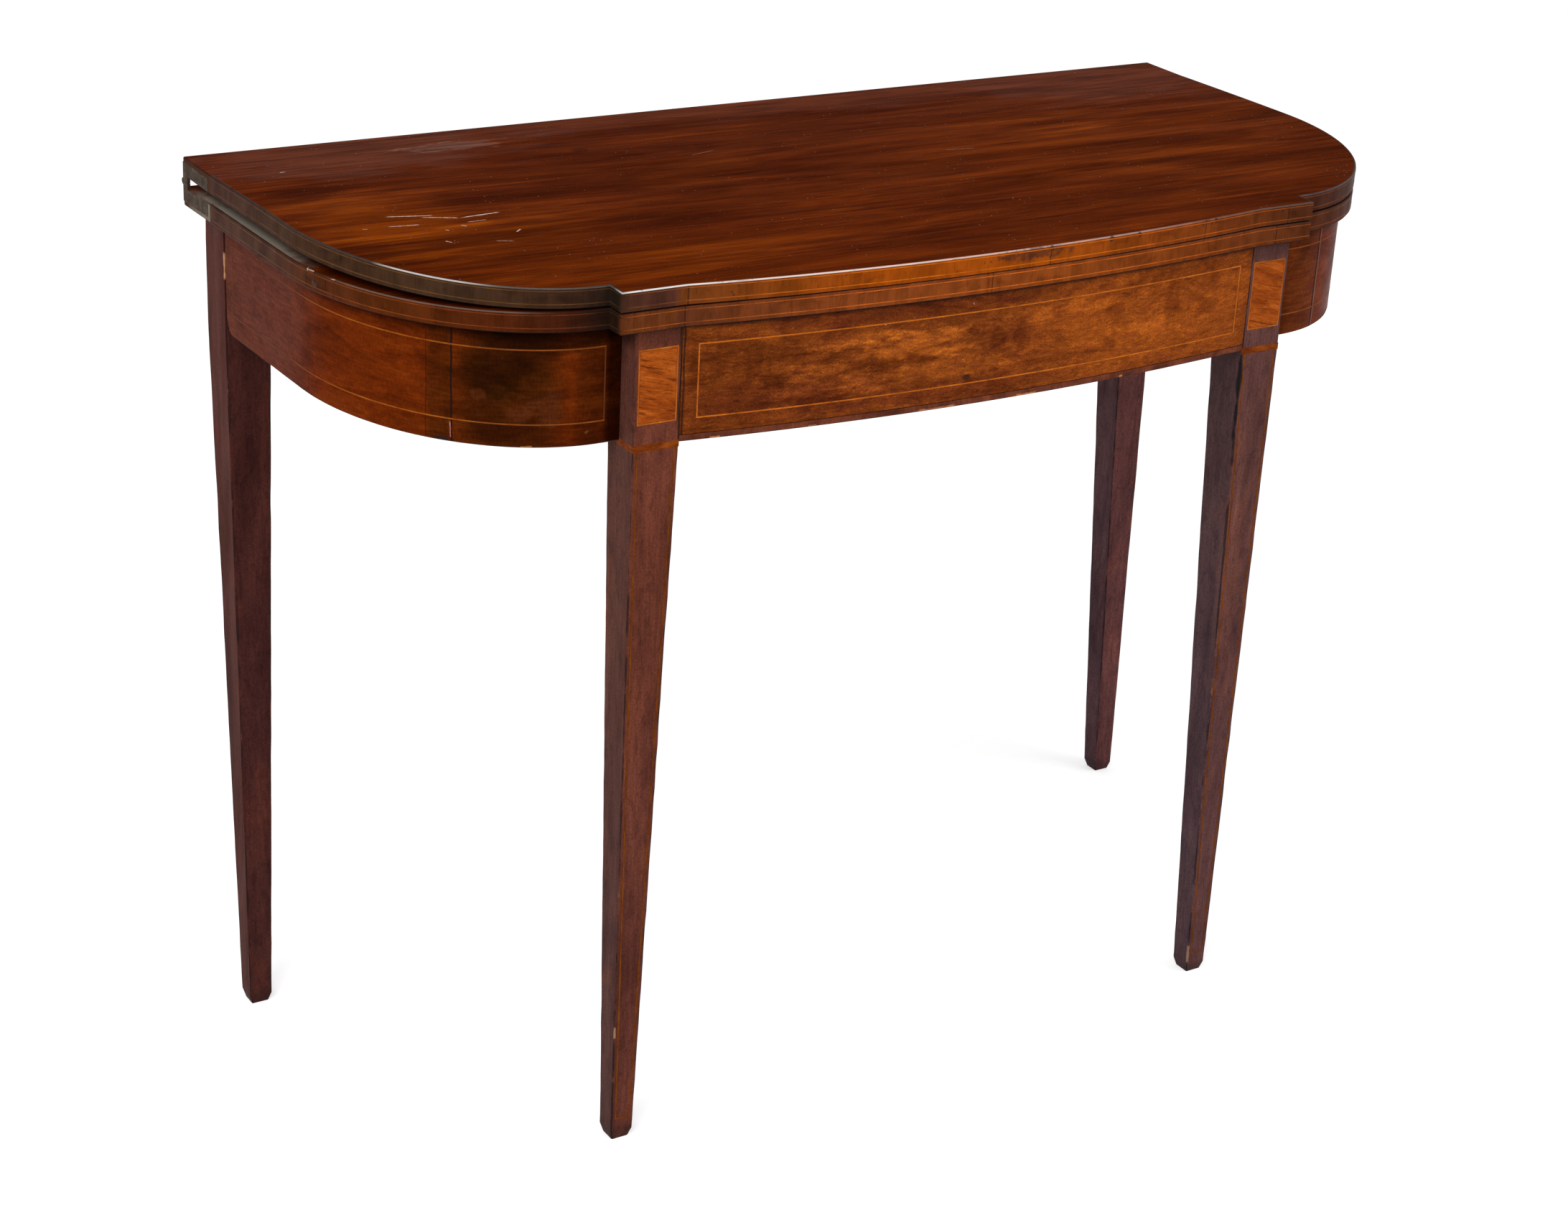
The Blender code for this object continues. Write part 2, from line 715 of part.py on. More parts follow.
def side_apron(side):
    name = f"{side_names[side]}_apron"
    path = side_apron_path(side, side_rear_end[side])
    core = ribbon(name, path, core_depth, apron_thickness, frame_bottom, frame_top, "deal")
    join(core, side_front_tenon(side))
    layout = (frame_end_margin, string_frame_bottom, string_frame_top)
    veneer = grooved_strip(f"{name}_veneer", path, veneer_thickness, frame_bottom, frame_top, *layout,
                           "mahogany")
    if side > 0:
        join(core, side_rear_tenon())
    else:
        round_lower_corner(core, side)
        round_lower_corner(veneer, side)
    frame = string_frame(f"{name}_stringing", path, *layout)
    return core, veneer, frame


# Rear rails and the wooden knuckle that the fly leg swings on

def finger_span(index):
    pitch = apron_height / knuckle_fingers
    return frame_bottom + pitch * index, frame_bottom + pitch * (index + 1)


def outer_rail(name, side):
    # side +1 is the fixed half on the right, side -1 the fly rail on the left
    top = frame_top - (moving_clearance if side < 0 else 0)
    end_x = side * (rear_leg_inner_x - fit_gap)
    turns = [math.radians(90 + 180 * index / knuckle_segments) for index in range(knuckle_segments + 1)]
    rounded_end = [(knuckle_x + side * knuckle_radius * math.cos(turn),
                    knuckle_y + knuckle_radius * math.sin(turn)) for turn in turns]
    outline = [*rounded_end, (end_x, rear_leg_front_y), (end_x, outer_rail_back_y)]
    rail = prism(name, outline, frame_bottom, top, "mahogany")
    join(rail, outer_rail_tenon(side))
    reach = knuckle_radius + moving_clearance
    for index in range(knuckle_fingers):
        is_own = (index % 2 == 0) == (side > 0)
        if is_own:
            continue
        low, high = finger_span(index)
        cut(rail, box("notch", (knuckle_x - side * (reach + overrun), knuckle_x + side * reach),
                      (rear_leg_front_y - overrun, outer_rail_back_y + overrun),
                      (low - moving_clearance / 2, high + moving_clearance / 2)))
    return cut(rail, rod("bore", rail_pin_radius + fit_gap, (knuckle_x, knuckle_y, frame_bottom - overrun),
                         (knuckle_x, knuckle_y, frame_top + overrun), 2))


def rail_screw_matrices():
    turn = Matrix.Rotation(math.radians(-90), 4, "X")
    height = (frame_bottom + frame_top) / 2
    return [Matrix.Translation((rear_leg_inner_x * share, outer_rail_back_y, height)) @ turn
            for share in rail_screw_shares]


def rear_rails():
    inner_end = apron_inner_x - fit_gap
    inner = box("inner_rear_rail", (-inner_end, inner_end), (inner_rail_front_y, inner_rail_back_y),
                (frame_bottom, frame_top), "deal")
    cut(inner, brace_space())
    for place in rear_leaf_screws:
        cut(inner, *leaf_screw_cuts(place, inner_rail_thickness))
    fixed = outer_rail("fixed_rear_rail", 1)
    fly = outer_rail("fly_rail", -1)
    for place in rail_screw_matrices():
        cut(inner, screw_hole(rail_screw, place))
        cut(fixed, screw_hole(rail_screw, place))
    rod("fly_rail_pin", rail_pin_radius, (knuckle_x, knuckle_y, frame_bottom),
        (knuckle_x, knuckle_y, frame_top - moving_clearance), 2, "iron")
    return fly


# Legs: square at the top, with two straight faces and two that taper below the apron

def leg(name, straight_x, straight_y, inward_x, inward_y, top, lean=(0.0, 0.0)):
    # straight_x and straight_y are the straight faces' places; the foot may lean out of line
    def ring(size, height, margin=0.0):
        share = max(taper_start - height, 0) / taper_start
        near_x = straight_x + lean[0] * share + inward_x * margin
        near_y = straight_y + lean[1] * share + inward_y * margin
        far_x = near_x + inward_x * (size - 2 * margin)
        far_y = near_y + inward_y * (size - 2 * margin)
        return [(near_x, near_y, height), (far_x, near_y, height),
                (far_x, far_y, height), (near_x, far_y, height)]

    slope = (leg_top - leg_foot) / taper_start
    levels = [ring(leg_foot, 0, foot_chamfer), ring(leg_foot + slope * foot_chamfer, foot_chamfer),
              ring(leg_top, taper_start), ring(leg_top, top)]
    mesh_data = bmesh.new()
    rings = [[mesh_data.verts.new(point) for point in level] for level in levels]
    for lower, upper in zip(rings, rings[1:]):
        for near, far in zip(range(4), (1, 2, 3, 0)):
            mesh_data.faces.new((lower[near], lower[far], upper[far], upper[near]))
    mesh_data.faces.new(rings[0])
    mesh_data.faces.new(rings[-1])
    return add_object(name, mesh_data, "dark_mahogany")


def leg_inner_x(height):
    # distance of a front leg's tapered inner face from the centre line
    if height >= taper_start:
        return front_leg_inner_x
    size = leg_foot + (leg_top - leg_foot) * height / taper_start
    return front_leg_outer_x - size


def leg_line(name, side, finish=None, play=0.0):
    # the two long lines on a front leg's face, joined above the foot: one follows the leg's straight
    # outer edge and the other its tapered inner edge
    high = taper_start + play
    low = leg_line_foot_height - play
    inner_low = leg_line_foot_height + string_width + play
    near_inset = leg_line_inset - play
    far_inset = leg_line_inset + string_width + play
    outer_far = front_leg_outer_x - near_inset
    outer_near = front_leg_outer_x - far_inset
    outline = [(outer_far, high), (outer_near, high), (outer_near, inner_low),
               (leg_inner_x(inner_low) + far_inset, inner_low), (leg_inner_x(high) + far_inset, high),
               (leg_inner_x(high) + near_inset, high), (leg_inner_x(low) + near_inset, low),
               (outer_far, low)]
    front = leg_face_y - (overrun if play else 0)
    rear = leg_face_y + string_depth + play
    return prism(name, [(z, side * x) for x, z in outline], front, rear, finish, "y")


def leg_panel_spans(side, margin, depth, play=0.0):
    near = front_leg_inner_x + panel_inset + margin - play
    far = front_leg_outer_x - panel_inset - margin + play
    return ((side * near, side * far), (leg_face_y - (overrun if play else 0), leg_face_y + depth + play),
            (string_frame_bottom + margin - play, string_frame_top - margin + play))


def cuff_path(side, play=0.0):
    # round the outer side and the front of a front leg
    left = [(-front_leg_outer_x, leg_face_y + leg_top + play), (-front_leg_outer_x, leg_face_y),
            (-front_leg_inner_x + play, leg_face_y)]
    return left if side < 0 else mirrored(left)


def front_leg(side):
    name = f"front_{side_names[side]}_leg"
    body = leg(name, side * front_leg_outer_x, leg_face_y, -side, 1, frame_top)
    cut(body, front_tenon(side, fit_gap), side_front_tenon(side, fit_gap))
    cuff_bottom, cuff_top = frame_bottom - cuff_drop, frame_bottom + cuff_rise
    cut(body, ribbon("groove", cuff_path(side, overrun), -overrun, cuff_thickness + fit_gap,
                     cuff_bottom - fit_gap, cuff_top + fit_gap))
    cut(body, box("recess", *leg_panel_spans(side, 0, panel_thickness, fit_gap)))
    cut(body, leg_line("groove", side, play=fit_gap))
    line_margin = string_width + fit_gap
    panel = box(f"{name}_panel", *leg_panel_spans(side, line_margin, panel_thickness), "flame_veneer")
    x_span, _, z_span = leg_panel_spans(side, string_width, panel_thickness)
    frame = box(f"{name}_panel_stringing", *leg_panel_spans(side, 0, panel_thickness), "boxwood")
    cut(frame, box("inside", x_span, (leg_face_y - overrun, leg_face_y + panel_thickness + overrun), z_span))
    stringing = [frame, leg_line(f"{name}_stringing", side, "boxwood")]
    cuff = ribbon(f"{name}_cuff_band", cuff_path(side), 0, cuff_thickness, cuff_bottom, cuff_top,
                  "flame_veneer")
    return body, panel, *stringing, cuff


def rear_legs():
    # their front and outer faces are the straight ones
    fixed = leg("rear_right_leg", rear_leg_outer_x, rear_leg_front_y, -1, 1, frame_top, (rear_foot_splay, 0))
    cut(fixed, side_rear_tenon(fit_gap), outer_rail_tenon(1, fit_gap))
    fly = leg("rear_left_fly_leg", -rear_leg_outer_x, rear_leg_front_y, 1, 1, frame_top - moving_clearance,
              (-rear_foot_splay, -fly_foot_lean))
    cut(fly, outer_rail_tenon(-1, fit_gap))
    return fly


# Brace and glue blocks inside the frame

def brace():
    return box("middle_brace", (-brace_width / 2, brace_width / 2), (brace_front_y, brace_back_y),
               (frame_top - brace_height, frame_top), "deal")


def glue_block(side):
    top = frame_top - (apron_height - block_height) / 2
    outer = apron_inner_x - fit_gap
    return box(f"{side_names[side]}_glue_block", (side * outer, side * (outer - block_size)),
               (inner_rail_front_y - fit_gap, inner_rail_front_y - block_size),
               (top - block_height, top), "deal")


# Assembly

upper_leaf = leaf("upper_leaf", lower_leaf_top + back_gap, 1)
upper_edge = leaf_edge("upper_leaf", lower_leaf_top + back_gap)
lower_leaf = leaf("lower_leaf", lower_leaf_bottom, -1)
lower_edge = leaf_edge("lower_leaf", lower_leaf_bottom)
front_leaf_screws, rear_leaf_screws = leaf_screw_places()
for place in front_leaf_screws + rear_leaf_screws:
    cut(lower_leaf, screw_hole(leaf_screw, place))
screws("leaf_screw", leaf_screw, front_leaf_screws + rear_leaf_screws, "iron")
screws("rear_rail_screw", rail_screw, rail_screw_matrices(), "iron")
upper_screws = screws("upper_hinge_screw", plate_screw, screw_places(1), "bronzed_brass")
screws("lower_hinge_screw", plate_screw, screw_places(-1), "bronzed_brass")
hinges = [hinge(side) for side in (-1, 1)]
front_apron()
for side in (-1, 1):
    side_apron(side)
    front_leg(side)
    glue_block(side)
fly_rail = rear_rails()
fly_leg = rear_legs()
brace()

upper_plates = [plates[1] for plates in hinges]
hang_on_axis("leaf_fold_axis", (0, fold_y, fold_z), [upper_leaf, *upper_edge, *upper_screws, *upper_plates],
             closed_tilt)
hang_on_axis("fly_leg_axis", (knuckle_x, knuckle_y, frame_bottom), [fly_rail, fly_leg])

for mesh in bpy.data.meshes:
    mesh.shade_smooth()
    mesh.set_sharp_from_angle(angle=sharp_edge_angle)
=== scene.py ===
import json
import math

import bmesh
import bpy
from mathutils import Matrix, Vector, noise


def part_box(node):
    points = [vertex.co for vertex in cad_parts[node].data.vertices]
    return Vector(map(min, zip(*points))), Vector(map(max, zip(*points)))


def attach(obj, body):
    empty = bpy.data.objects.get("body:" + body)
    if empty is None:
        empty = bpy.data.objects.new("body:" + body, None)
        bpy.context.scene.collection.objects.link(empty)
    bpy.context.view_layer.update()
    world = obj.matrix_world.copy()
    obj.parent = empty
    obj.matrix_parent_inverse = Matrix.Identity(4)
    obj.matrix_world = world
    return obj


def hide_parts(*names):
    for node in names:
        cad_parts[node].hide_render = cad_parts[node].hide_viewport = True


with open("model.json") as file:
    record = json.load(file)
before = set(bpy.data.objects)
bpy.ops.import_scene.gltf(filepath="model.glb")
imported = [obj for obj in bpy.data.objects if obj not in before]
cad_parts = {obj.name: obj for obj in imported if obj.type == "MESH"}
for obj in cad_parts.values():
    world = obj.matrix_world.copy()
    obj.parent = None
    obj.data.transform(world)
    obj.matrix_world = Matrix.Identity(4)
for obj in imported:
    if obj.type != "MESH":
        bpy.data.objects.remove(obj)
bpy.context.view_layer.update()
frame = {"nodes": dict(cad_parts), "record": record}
print("card table: solids loaded")


# Node helpers

def addNode(tree, kind, inputs=None, **settings):
    # a shader node: inputs are sockets to link or plain values
    made = tree.nodes.new(kind)
    for key, value in settings.items():
        setattr(made, key, value)
    for key, value in (inputs or {}).items():
        if isinstance(value, bpy.types.NodeSocket):
            tree.links.new(value, made.inputs[key])
        else:
            made.inputs[key].default_value = value
    return made


def mathNode(tree, operation, first, second=0.0, third=0.0):
    return addNode(tree, "ShaderNodeMath", {0: first, 1: second, 2: third}, operation=operation).outputs[0]


def vectorNode(tree, operation, inputs, output=0):
    return addNode(tree, "ShaderNodeVectorMath", inputs, operation=operation).outputs[output]


def mixColour(tree, share, first, second, blend):
    made = addNode(tree, "ShaderNodeMix", data_type="RGBA", blend_type=blend, clamp_factor=True)
    for place, value in ((0, share), (6, first), (7, second)):
        if isinstance(value, bpy.types.NodeSocket):
            tree.links.new(value, made.inputs[place])
        else:
            made.inputs[place].default_value = (*value, 1.0) if place > 0 and len(value) == 3 else value
    return made.outputs[2]


def rampNode(tree, share, stops):
    # stops are (place, grey) or (place, red, green, blue)
    made = addNode(tree, "ShaderNodeValToRGB", {"Fac": share})
    ramp = made.color_ramp
    while len(ramp.elements) < len(stops):
        ramp.elements.new(0.5)
    for element, (place, *colour) in zip(ramp.elements, stops):
        element.position = place
        element.color = (*(colour * 3 if len(colour) == 1 else colour), 1.0)
    return made.outputs["Color"]


def spanNode(tree, value, low, high, outLow=0.0, outHigh=1.0):
    inputs = {"Value": value, "From Min": low, "From Max": high, "To Min": outLow, "To Max": outHigh}
    return addNode(tree, "ShaderNodeMapRange", inputs, interpolation_type="SMOOTHSTEP").outputs["Result"]


def noiseNode(tree, place, scale, detail=3.0, roughness=0.55, distortion=0.0):
    # scale is one number or one for each axis, per metre
    if not isinstance(scale, (int, float)):
        place = addNode(tree, "ShaderNodeMapping", {"Vector": place, "Scale": scale}).outputs["Vector"]
        scale = 1.0
    inputs = {"Vector": place, "Scale": scale, "Detail": detail, "Roughness": roughness,
              "Distortion": distortion}
    return addNode(tree, "ShaderNodeTexNoise", inputs).outputs["Fac"]


# Finishes: each has a colour, a roughness and a height, and steps that work on them in turn

poreDepth = 0.00003
crackDepth = 0.0003
bumpStrength = 0.7
lowerArris = (0.25, 0.45)


def startFinish(name, coordinates="object"):
    material = bpy.data.materials.new(name)
    material.use_nodes = True
    tree = material.node_tree
    if coordinates == "object":
        place = addNode(tree, "ShaderNodeTexCoord").outputs["Object"]
    else:
        place = addNode(tree, "ShaderNodeAttribute", attribute_name=coordinates).outputs["Vector"]
    axes = addNode(tree, "ShaderNodeSeparateXYZ", {"Vector": place}).outputs
    return {"material": material, "tree": tree, "place": place, "axes": axes, "height": 0.0}


def paint(finish, share, colour, blend="MIX"):
    finish["colour"] = mixColour(finish["tree"], share, finish["colour"], colour, blend)


def dent(finish, share, depth):
    finish["height"] = mathNode(finish["tree"], "MULTIPLY_ADD", share, -depth, finish["height"])


def roughen(finish, share, amount):
    finish["roughness"] = mathNode(finish["tree"], "MULTIPLY_ADD", share, amount, finish["roughness"])


def times(finish, *shares):
    made = shares[0]
    for share in shares[1:]:
        made = mathNode(finish["tree"], "MULTIPLY", made, share)
    return made


def raggedness(finish, scale):
    # -0.5 to 0.5, to break up a straight or round outline
    return mathNode(finish["tree"], "SUBTRACT", noiseNode(finish["tree"], finish["place"], scale, 4.0), 0.5)


def addGrain(finish, look):
    # broad streaks of three tones, and what the polish does over them
    tree = finish["tree"]
    streaks = noiseNode(tree, finish["place"], look["grain"], 6.0, 0.6, look["swirl"])
    low, high = look.get("contrast", (0.33, 0.7))
    tones = [look["dark"], look["middle"], look["light"]]
    stops = [(low + (high - low) * index / 2, *tone) for index, tone in enumerate(tones)]
    finish["colour"] = rampNode(tree, streaks, stops)
    smooth, rough = look["polish"]
    finish["roughness"] = spanNode(tree, streaks, low, high, rough, smooth)


def addFibres(finish, scale, darkest, lightest, low=0.34, high=0.66):
    # fine lines of the wood, darker and lighter than its colour
    tree = finish["tree"]
    factor = spanNode(tree, noiseNode(tree, finish["place"], scale, 3.0, 0.6), low, high, darkest, lightest)
    finish["colour"] = vectorNode(tree, "SCALE", {0: finish["colour"], "Scale": factor})


def addPatches(finish, colour, scale, low, high, strength, distortion=0.0, blend="MULTIPLY"):
    # soft larger patches of another tone
    tree = finish["tree"]
    share = spanNode(tree, noiseNode(tree, finish["place"], scale, 3.0, 0.6, distortion), low, high)
    paint(finish, times(finish, share, strength), colour, blend)


def addPores(finish, scale, strength, colour=(0.25, 0.18, 0.15), cut=0.6):
    # short dark pores, which also dent the surface
    tree = finish["tree"]
    pores = spanNode(tree, noiseNode(tree, finish["place"], scale, 2.0, 0.5), cut, cut + 0.08)
    paint(finish, times(finish, pores, strength), colour, "MULTIPLY")
    dent(finish, pores, poreDepth)


def addSpecks(finish, colour, scale, radius, strength, spread=(0.5, 0.62)):
    # grains of dust that lie on the surface
    tree = finish["tree"]
    dots = addNode(tree, "ShaderNodeTexVoronoi", {"Vector": finish["place"], "Scale": scale})
    near = spanNode(tree, dots.outputs["Distance"], radius * 0.4, radius, 1.0, 0.0)
    chosen = spanNode(tree, noiseNode(tree, finish["place"], scale * 0.2, 1.0), *spread)
    share = times(finish, near, chosen, strength)
    paint(finish, share, colour)
    roughen(finish, share, 0.3)


def addTones(finish, length, stops, look):
    # the colours met along a run of wood, and the streaks in them
    tree = finish["tree"]
    along = addNode(tree, "ShaderNodeMapRange", {"Value": finish["axes"][0], "From Max": length})
    finish["colour"] = rampNode(tree, along.outputs["Result"], stops)
    streaks = noiseNode(tree, finish["place"], look["grain"], 5.0, 0.6, look["swirl"])
    finish["roughness"] = spanNode(tree, streaks, 0.34, 0.66, look["polish"][1], look["polish"][0])
    addFibres(finish, look["grain"], *look["streaks"])


def facingShare(finish, axis, low, high):
    # runs from low on the faces across an axis to high on those that look along it
    tree = finish["tree"]
    normal = addNode(tree, "ShaderNodeTexCoord").outputs["Normal"]
    part = addNode(tree, "ShaderNodeSeparateXYZ", {"Vector": normal}).outputs[axis]
    return spanNode(tree, mathNode(tree, "ABSOLUTE", part), 0.5, 0.8, low, high)


def addArea(finish, centre, halves, colour, strength, blend="MIX", ragged=0.5, scale=30.0, axes=(0, 1)):
    # a soft round place, measured on two axes or a single one; strength is a number or a share
    tree = finish["tree"]
    squares = []
    for axis, middle, half in zip(axes, centre, halves):
        away = mathNode(tree, "SUBTRACT", finish["axes"][axis], middle)
        away = mathNode(tree, "MULTIPLY", away, 1.0 / half)
        squares.append(mathNode(tree, "POWER", mathNode(tree, "ABSOLUTE", away), 2.0))
    total = mathNode(tree, "ADD", squares[0], squares[1] if len(squares) > 1 else 0.0)
    distance = mathNode(tree, "SQRT", total)
    distance = mathNode(tree, "MULTIPLY_ADD", raggedness(finish, scale), ragged * 2, distance)
    paint(finish, times(finish, spanNode(tree, distance, 0.45, 1.1, 1.0, 0.0), strength), colour, blend)


def addAreas(finish, look, rows, blend="MULTIPLY"):
    # rows of centre, half sizes, colour or its name in the look, strength, raggedness and scale
    for x, y, halfX, halfY, colour, strength, ragged, scale in rows:
        addArea(finish, (x, y), (halfX, halfY), look.get(colour, colour), strength, blend, ragged, scale)


def addScuff(finish, start, end, width, colour, strength, ragged):
    # a scratch, chip or rubbed streak from one point to another
    tree = finish["tree"]
    start, end = (Vector((*spot, 0.0)[:3]) for spot in (start, end))
    run = end - start
    away = vectorNode(tree, "SUBTRACT", {0: finish["place"], 1: (start + end) / 2})
    along = vectorNode(tree, "DOT_PRODUCT", {0: away, 1: run.normalized()}, "Value")
    back = vectorNode(tree, "SCALE", {0: run.normalized(), "Scale": along})
    side = vectorNode(tree, "DISTANCE", {0: away, 1: back}, "Value")
    side = mathNode(tree, "MULTIPLY_ADD", raggedness(finish, 0.4 / width), ragged * width, side)
    reach = mathNode(tree, "ABSOLUTE", along)
    inLength = spanNode(tree, reach, run.length * 0.35, run.length * 0.5, 1.0, 0.0)
    inWidth = spanNode(tree, side, width * 0.2, width * 0.5, 1.0, 0.0)
    paint(finish, times(finish, inLength, inWidth, strength), colour)


def addScuffs(finish, look, rows):
    # rows of start, end, width, colour or its name in the look, strength and raggedness
    for start, end, width, colour, strength, ragged in rows:
        addScuff(finish, start, end, width, look.get(colour, colour), strength, ragged)


def addArrisWearAndPaintedLight(finish, colour, scale, low, high, strength, marked=(0.75, 0.95), stops=None, length=1.0):
    # wear and dirt along the arrises, and also painted highlight, painted shadow and painted reflection
    # there: these carry the attribute "arris", 1 at the top and 0.5 below
    tree = finish["tree"]
    arris = addNode(tree, "ShaderNodeAttribute", attribute_name="arris").outputs["Fac"]
    onArris = spanNode(tree, arris, *marked)
    if marked[1] < 0.6:
        onArris = times(finish, onArris, spanNode(tree, arris, 0.6, 0.8, 1.0, 0.0))
    rubbed = spanNode(tree, noiseNode(tree, finish["place"], scale, 4.0, 0.65), low, high)
    share = times(finish, onArris, rubbed, strength)
    if stops:
        along = addNode(tree, "ShaderNodeMapRange", {"Value": finish["axes"][0], "From Max": length})
        share = times(finish, share, rampNode(tree, along.outputs["Result"], stops))
    paint(finish, share, colour)
    roughen(finish, share, 0.15)


def addCrack(finish, centre, width, strength, colour=(0.01, 0.006, 0.005), wobble=0.003, depth=crackDepth):
    # a dark joint or split across the surface, at one place along it
    tree = finish["tree"]
    shift = mathNode(tree, "MULTIPLY", raggedness(finish, 30.0), wobble)
    away = mathNode(tree, "SUBTRACT", mathNode(tree, "ADD", finish["axes"][0], shift), centre)
    share = spanNode(tree, mathNode(tree, "ABSOLUTE", away), width * 0.4, width * 0.6, 1.0, 0.0)
    share = times(finish, share, strength)
    paint(finish, share, colour)
    dent(finish, share, depth)


def endFinish(finish, specular, metallic=0.0):
    tree = finish["tree"]
    shader = tree.nodes["Principled BSDF"]
    shader.inputs["Specular IOR Level"].default_value = specular
    shader.inputs["Metallic"].default_value = metallic
    tree.links.new(finish["colour"], shader.inputs["Base Color"])
    tree.links.new(finish["roughness"], shader.inputs["Roughness"])
    if isinstance(finish["height"], bpy.types.NodeSocket):
        bump = addNode(tree, "ShaderNodeBump",
                       {"Height": finish["height"], "Distance": 1.0, "Strength": bumpStrength})
        tree.links.new(bump.outputs["Normal"], shader.inputs["Normal"])
    return finish["material"]


# Sweeps: a profile carried round the table's plan

def offsetDirections(path):
    # outward direction at each point of a plan path that runs from the left end round the front
    count = len(path)
    found = []
    for index in range(count):
        before, here, after = path[max(index - 1, 0)], path[index], path[min(index + 1, count - 1)]
        first = (here - before).normalized() if index > 0 else (after - here).normalized()
        second = (after - here).normalized() if index < count - 1 else first
        normals = [Vector((step.y, -step.x)) for step in (first, second)]
        middle = (normals[0] + normals[1]).normalized()
        found.append(middle / max(middle.dot(normals[0]), 0.3))
    return found


def putInScene(name, data):
    made = bpy.data.objects.new(name, data)
    bpy.context.collection.objects.link(made)
    return made


def newPiece(name, body, mesh, material, slotName, *nodes):
    piece = putInScene(name, mesh)
    mesh.materials.append(material)
    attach(piece, body)
    if nodes:
        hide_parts(*nodes)
    flats = piece.modifiers.new("flat_faces", "WEIGHTED_NORMAL")
    flats.keep_sharp = True
    return piece


def smoothBySharpEdges(mesh, degrees=35.0):
    mesh.shade_smooth()
    mesh.set_sharp_from_angle(angle=math.radians(degrees))


def sweepMesh(name, path, profileAt, move):
    # profileAt gives, for a distance along the path, a closed list of (depth inward, height, arris),
    # and move shifts each point of it
    outward = offsetDirections(path)
    mesh = bpy.data.meshes.new(name)
    points, along, worn, arris, faces = [], [], [], [], []
    travelled = 0.0
    for index, (place, out) in enumerate(zip(path, outward)):
        if index:
            travelled += (place - path[index - 1]).length
        profile = profileAt(travelled)
        size = len(profile)
        for depth, height, isArris in profile:
            spot = Vector((place.x - out.x * depth, place.y - out.y * depth, height))
            points.append(move(spot, isArris))
            along.append((travelled, height, depth))
            worn.append(isArris)
        if index:
            start, last = index * size, (index - 1) * size
            for step in range(size):
                after = (step + 1) % size
                faces.append((last + step, last + after, start + after, start + step))
                arris.append(min(worn[last + step], worn[last + after]))
    faces.append(tuple(range(size - 1, -1, -1)))
    faces.append(tuple(range(len(points) - size, len(points))))
    arris += [0.0, 0.0]
    mesh.from_pydata(points, [], faces)
    work = bmesh.new()
    work.from_mesh(mesh)
    bmesh.ops.recalc_face_normals(work, faces=work.faces)
    work.to_mesh(mesh)
    work.free()
    mesh.attributes.new("run", "FLOAT_VECTOR", "POINT").data.foreach_set(
        "vector", [number for triple in along for number in triple])
    mesh.attributes.new("arris", "FLOAT", "FACE").data.foreach_set("value", arris)
    smoothBySharpEdges(mesh)
    return mesh


def roundedProfile(low, high, depth, topRound, bottomRound, inset):
    # a strip's section from the outer face inwards, with eased arrises at top and bottom
    def corner(centreDepth, centreHeight, radius, start, mark):
        turns = [math.radians(start + 30 * step) for step in range(4)]
        return [(centreDepth - radius * math.cos(turn), centreHeight + radius * math.sin(turn), mark)
                for turn in turns]
    lower = corner(inset + bottomRound, low + bottomRound, bottomRound, -90, 0.5)
    upper = corner(inset + topRound, high - topRound, topRound, 0, 1.0)
    middles = [(inset, low + (high - low) * share, 0.0) for share in (0.2, 0.35, 0.5, 0.65, 0.8)]
    return lower + middles + upper + [(depth * 0.5, high, 0.0), (depth, high, 0.0), (depth, low, 0.0),
                                      (depth * 0.5, low, 0.0)]


# The plan of the top, as the solids have it

leafPlan = {"stepOverhang": 0.016, "stepDepth": 0.018, "bowRise": 0.019, "endStraight": 0.21,
            "spacing": 0.004}

bandLow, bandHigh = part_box("lower_leaf_edge_banding")
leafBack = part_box("lower_leaf")[1].y
legLow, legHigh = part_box("front_right_leg")
leafHalf = bandHigh.x
stepHalf = legHigh.x + leafPlan["stepOverhang"]
stepFrontY = bandLow.y + leafPlan["bowRise"]
curveStartY = leafBack - leafPlan["endStraight"]
legInnerX = legLow.x


def straightRun(start, end, spacing):
    count = max(1, round((end - start).length / spacing))
    return [start.lerp(end, step / count) for step in range(count)]


def quarterCurve(centre, halfX, halfY, spacing):
    # from straight left of the centre to straight in front of it
    count = round(1.3 * math.hypot(halfX, halfY) / spacing)
    turns = [math.pi / 2 * step / count for step in range(count)]
    return [Vector((centre.x - halfX * math.cos(turn), centre.y - halfY * math.sin(turn))) for turn in turns]


def bowRun(halfChord, endsY, spacing):
    rise = leafPlan["bowRise"]
    radius = (halfChord ** 2 + rise ** 2) / (2 * rise)
    halfTurn = math.asin(halfChord / radius)
    count = round(2 * halfChord / spacing)
    turns = [-halfTurn + 2 * halfTurn * step / count for step in range(count + 1)]
    return [Vector((radius * math.sin(turn), endsY - rise + radius * (1 - math.cos(turn)))) for turn in turns]


def mirrorRun(run):
    return [Vector((-spot.x, spot.y)) for spot in reversed(run)]


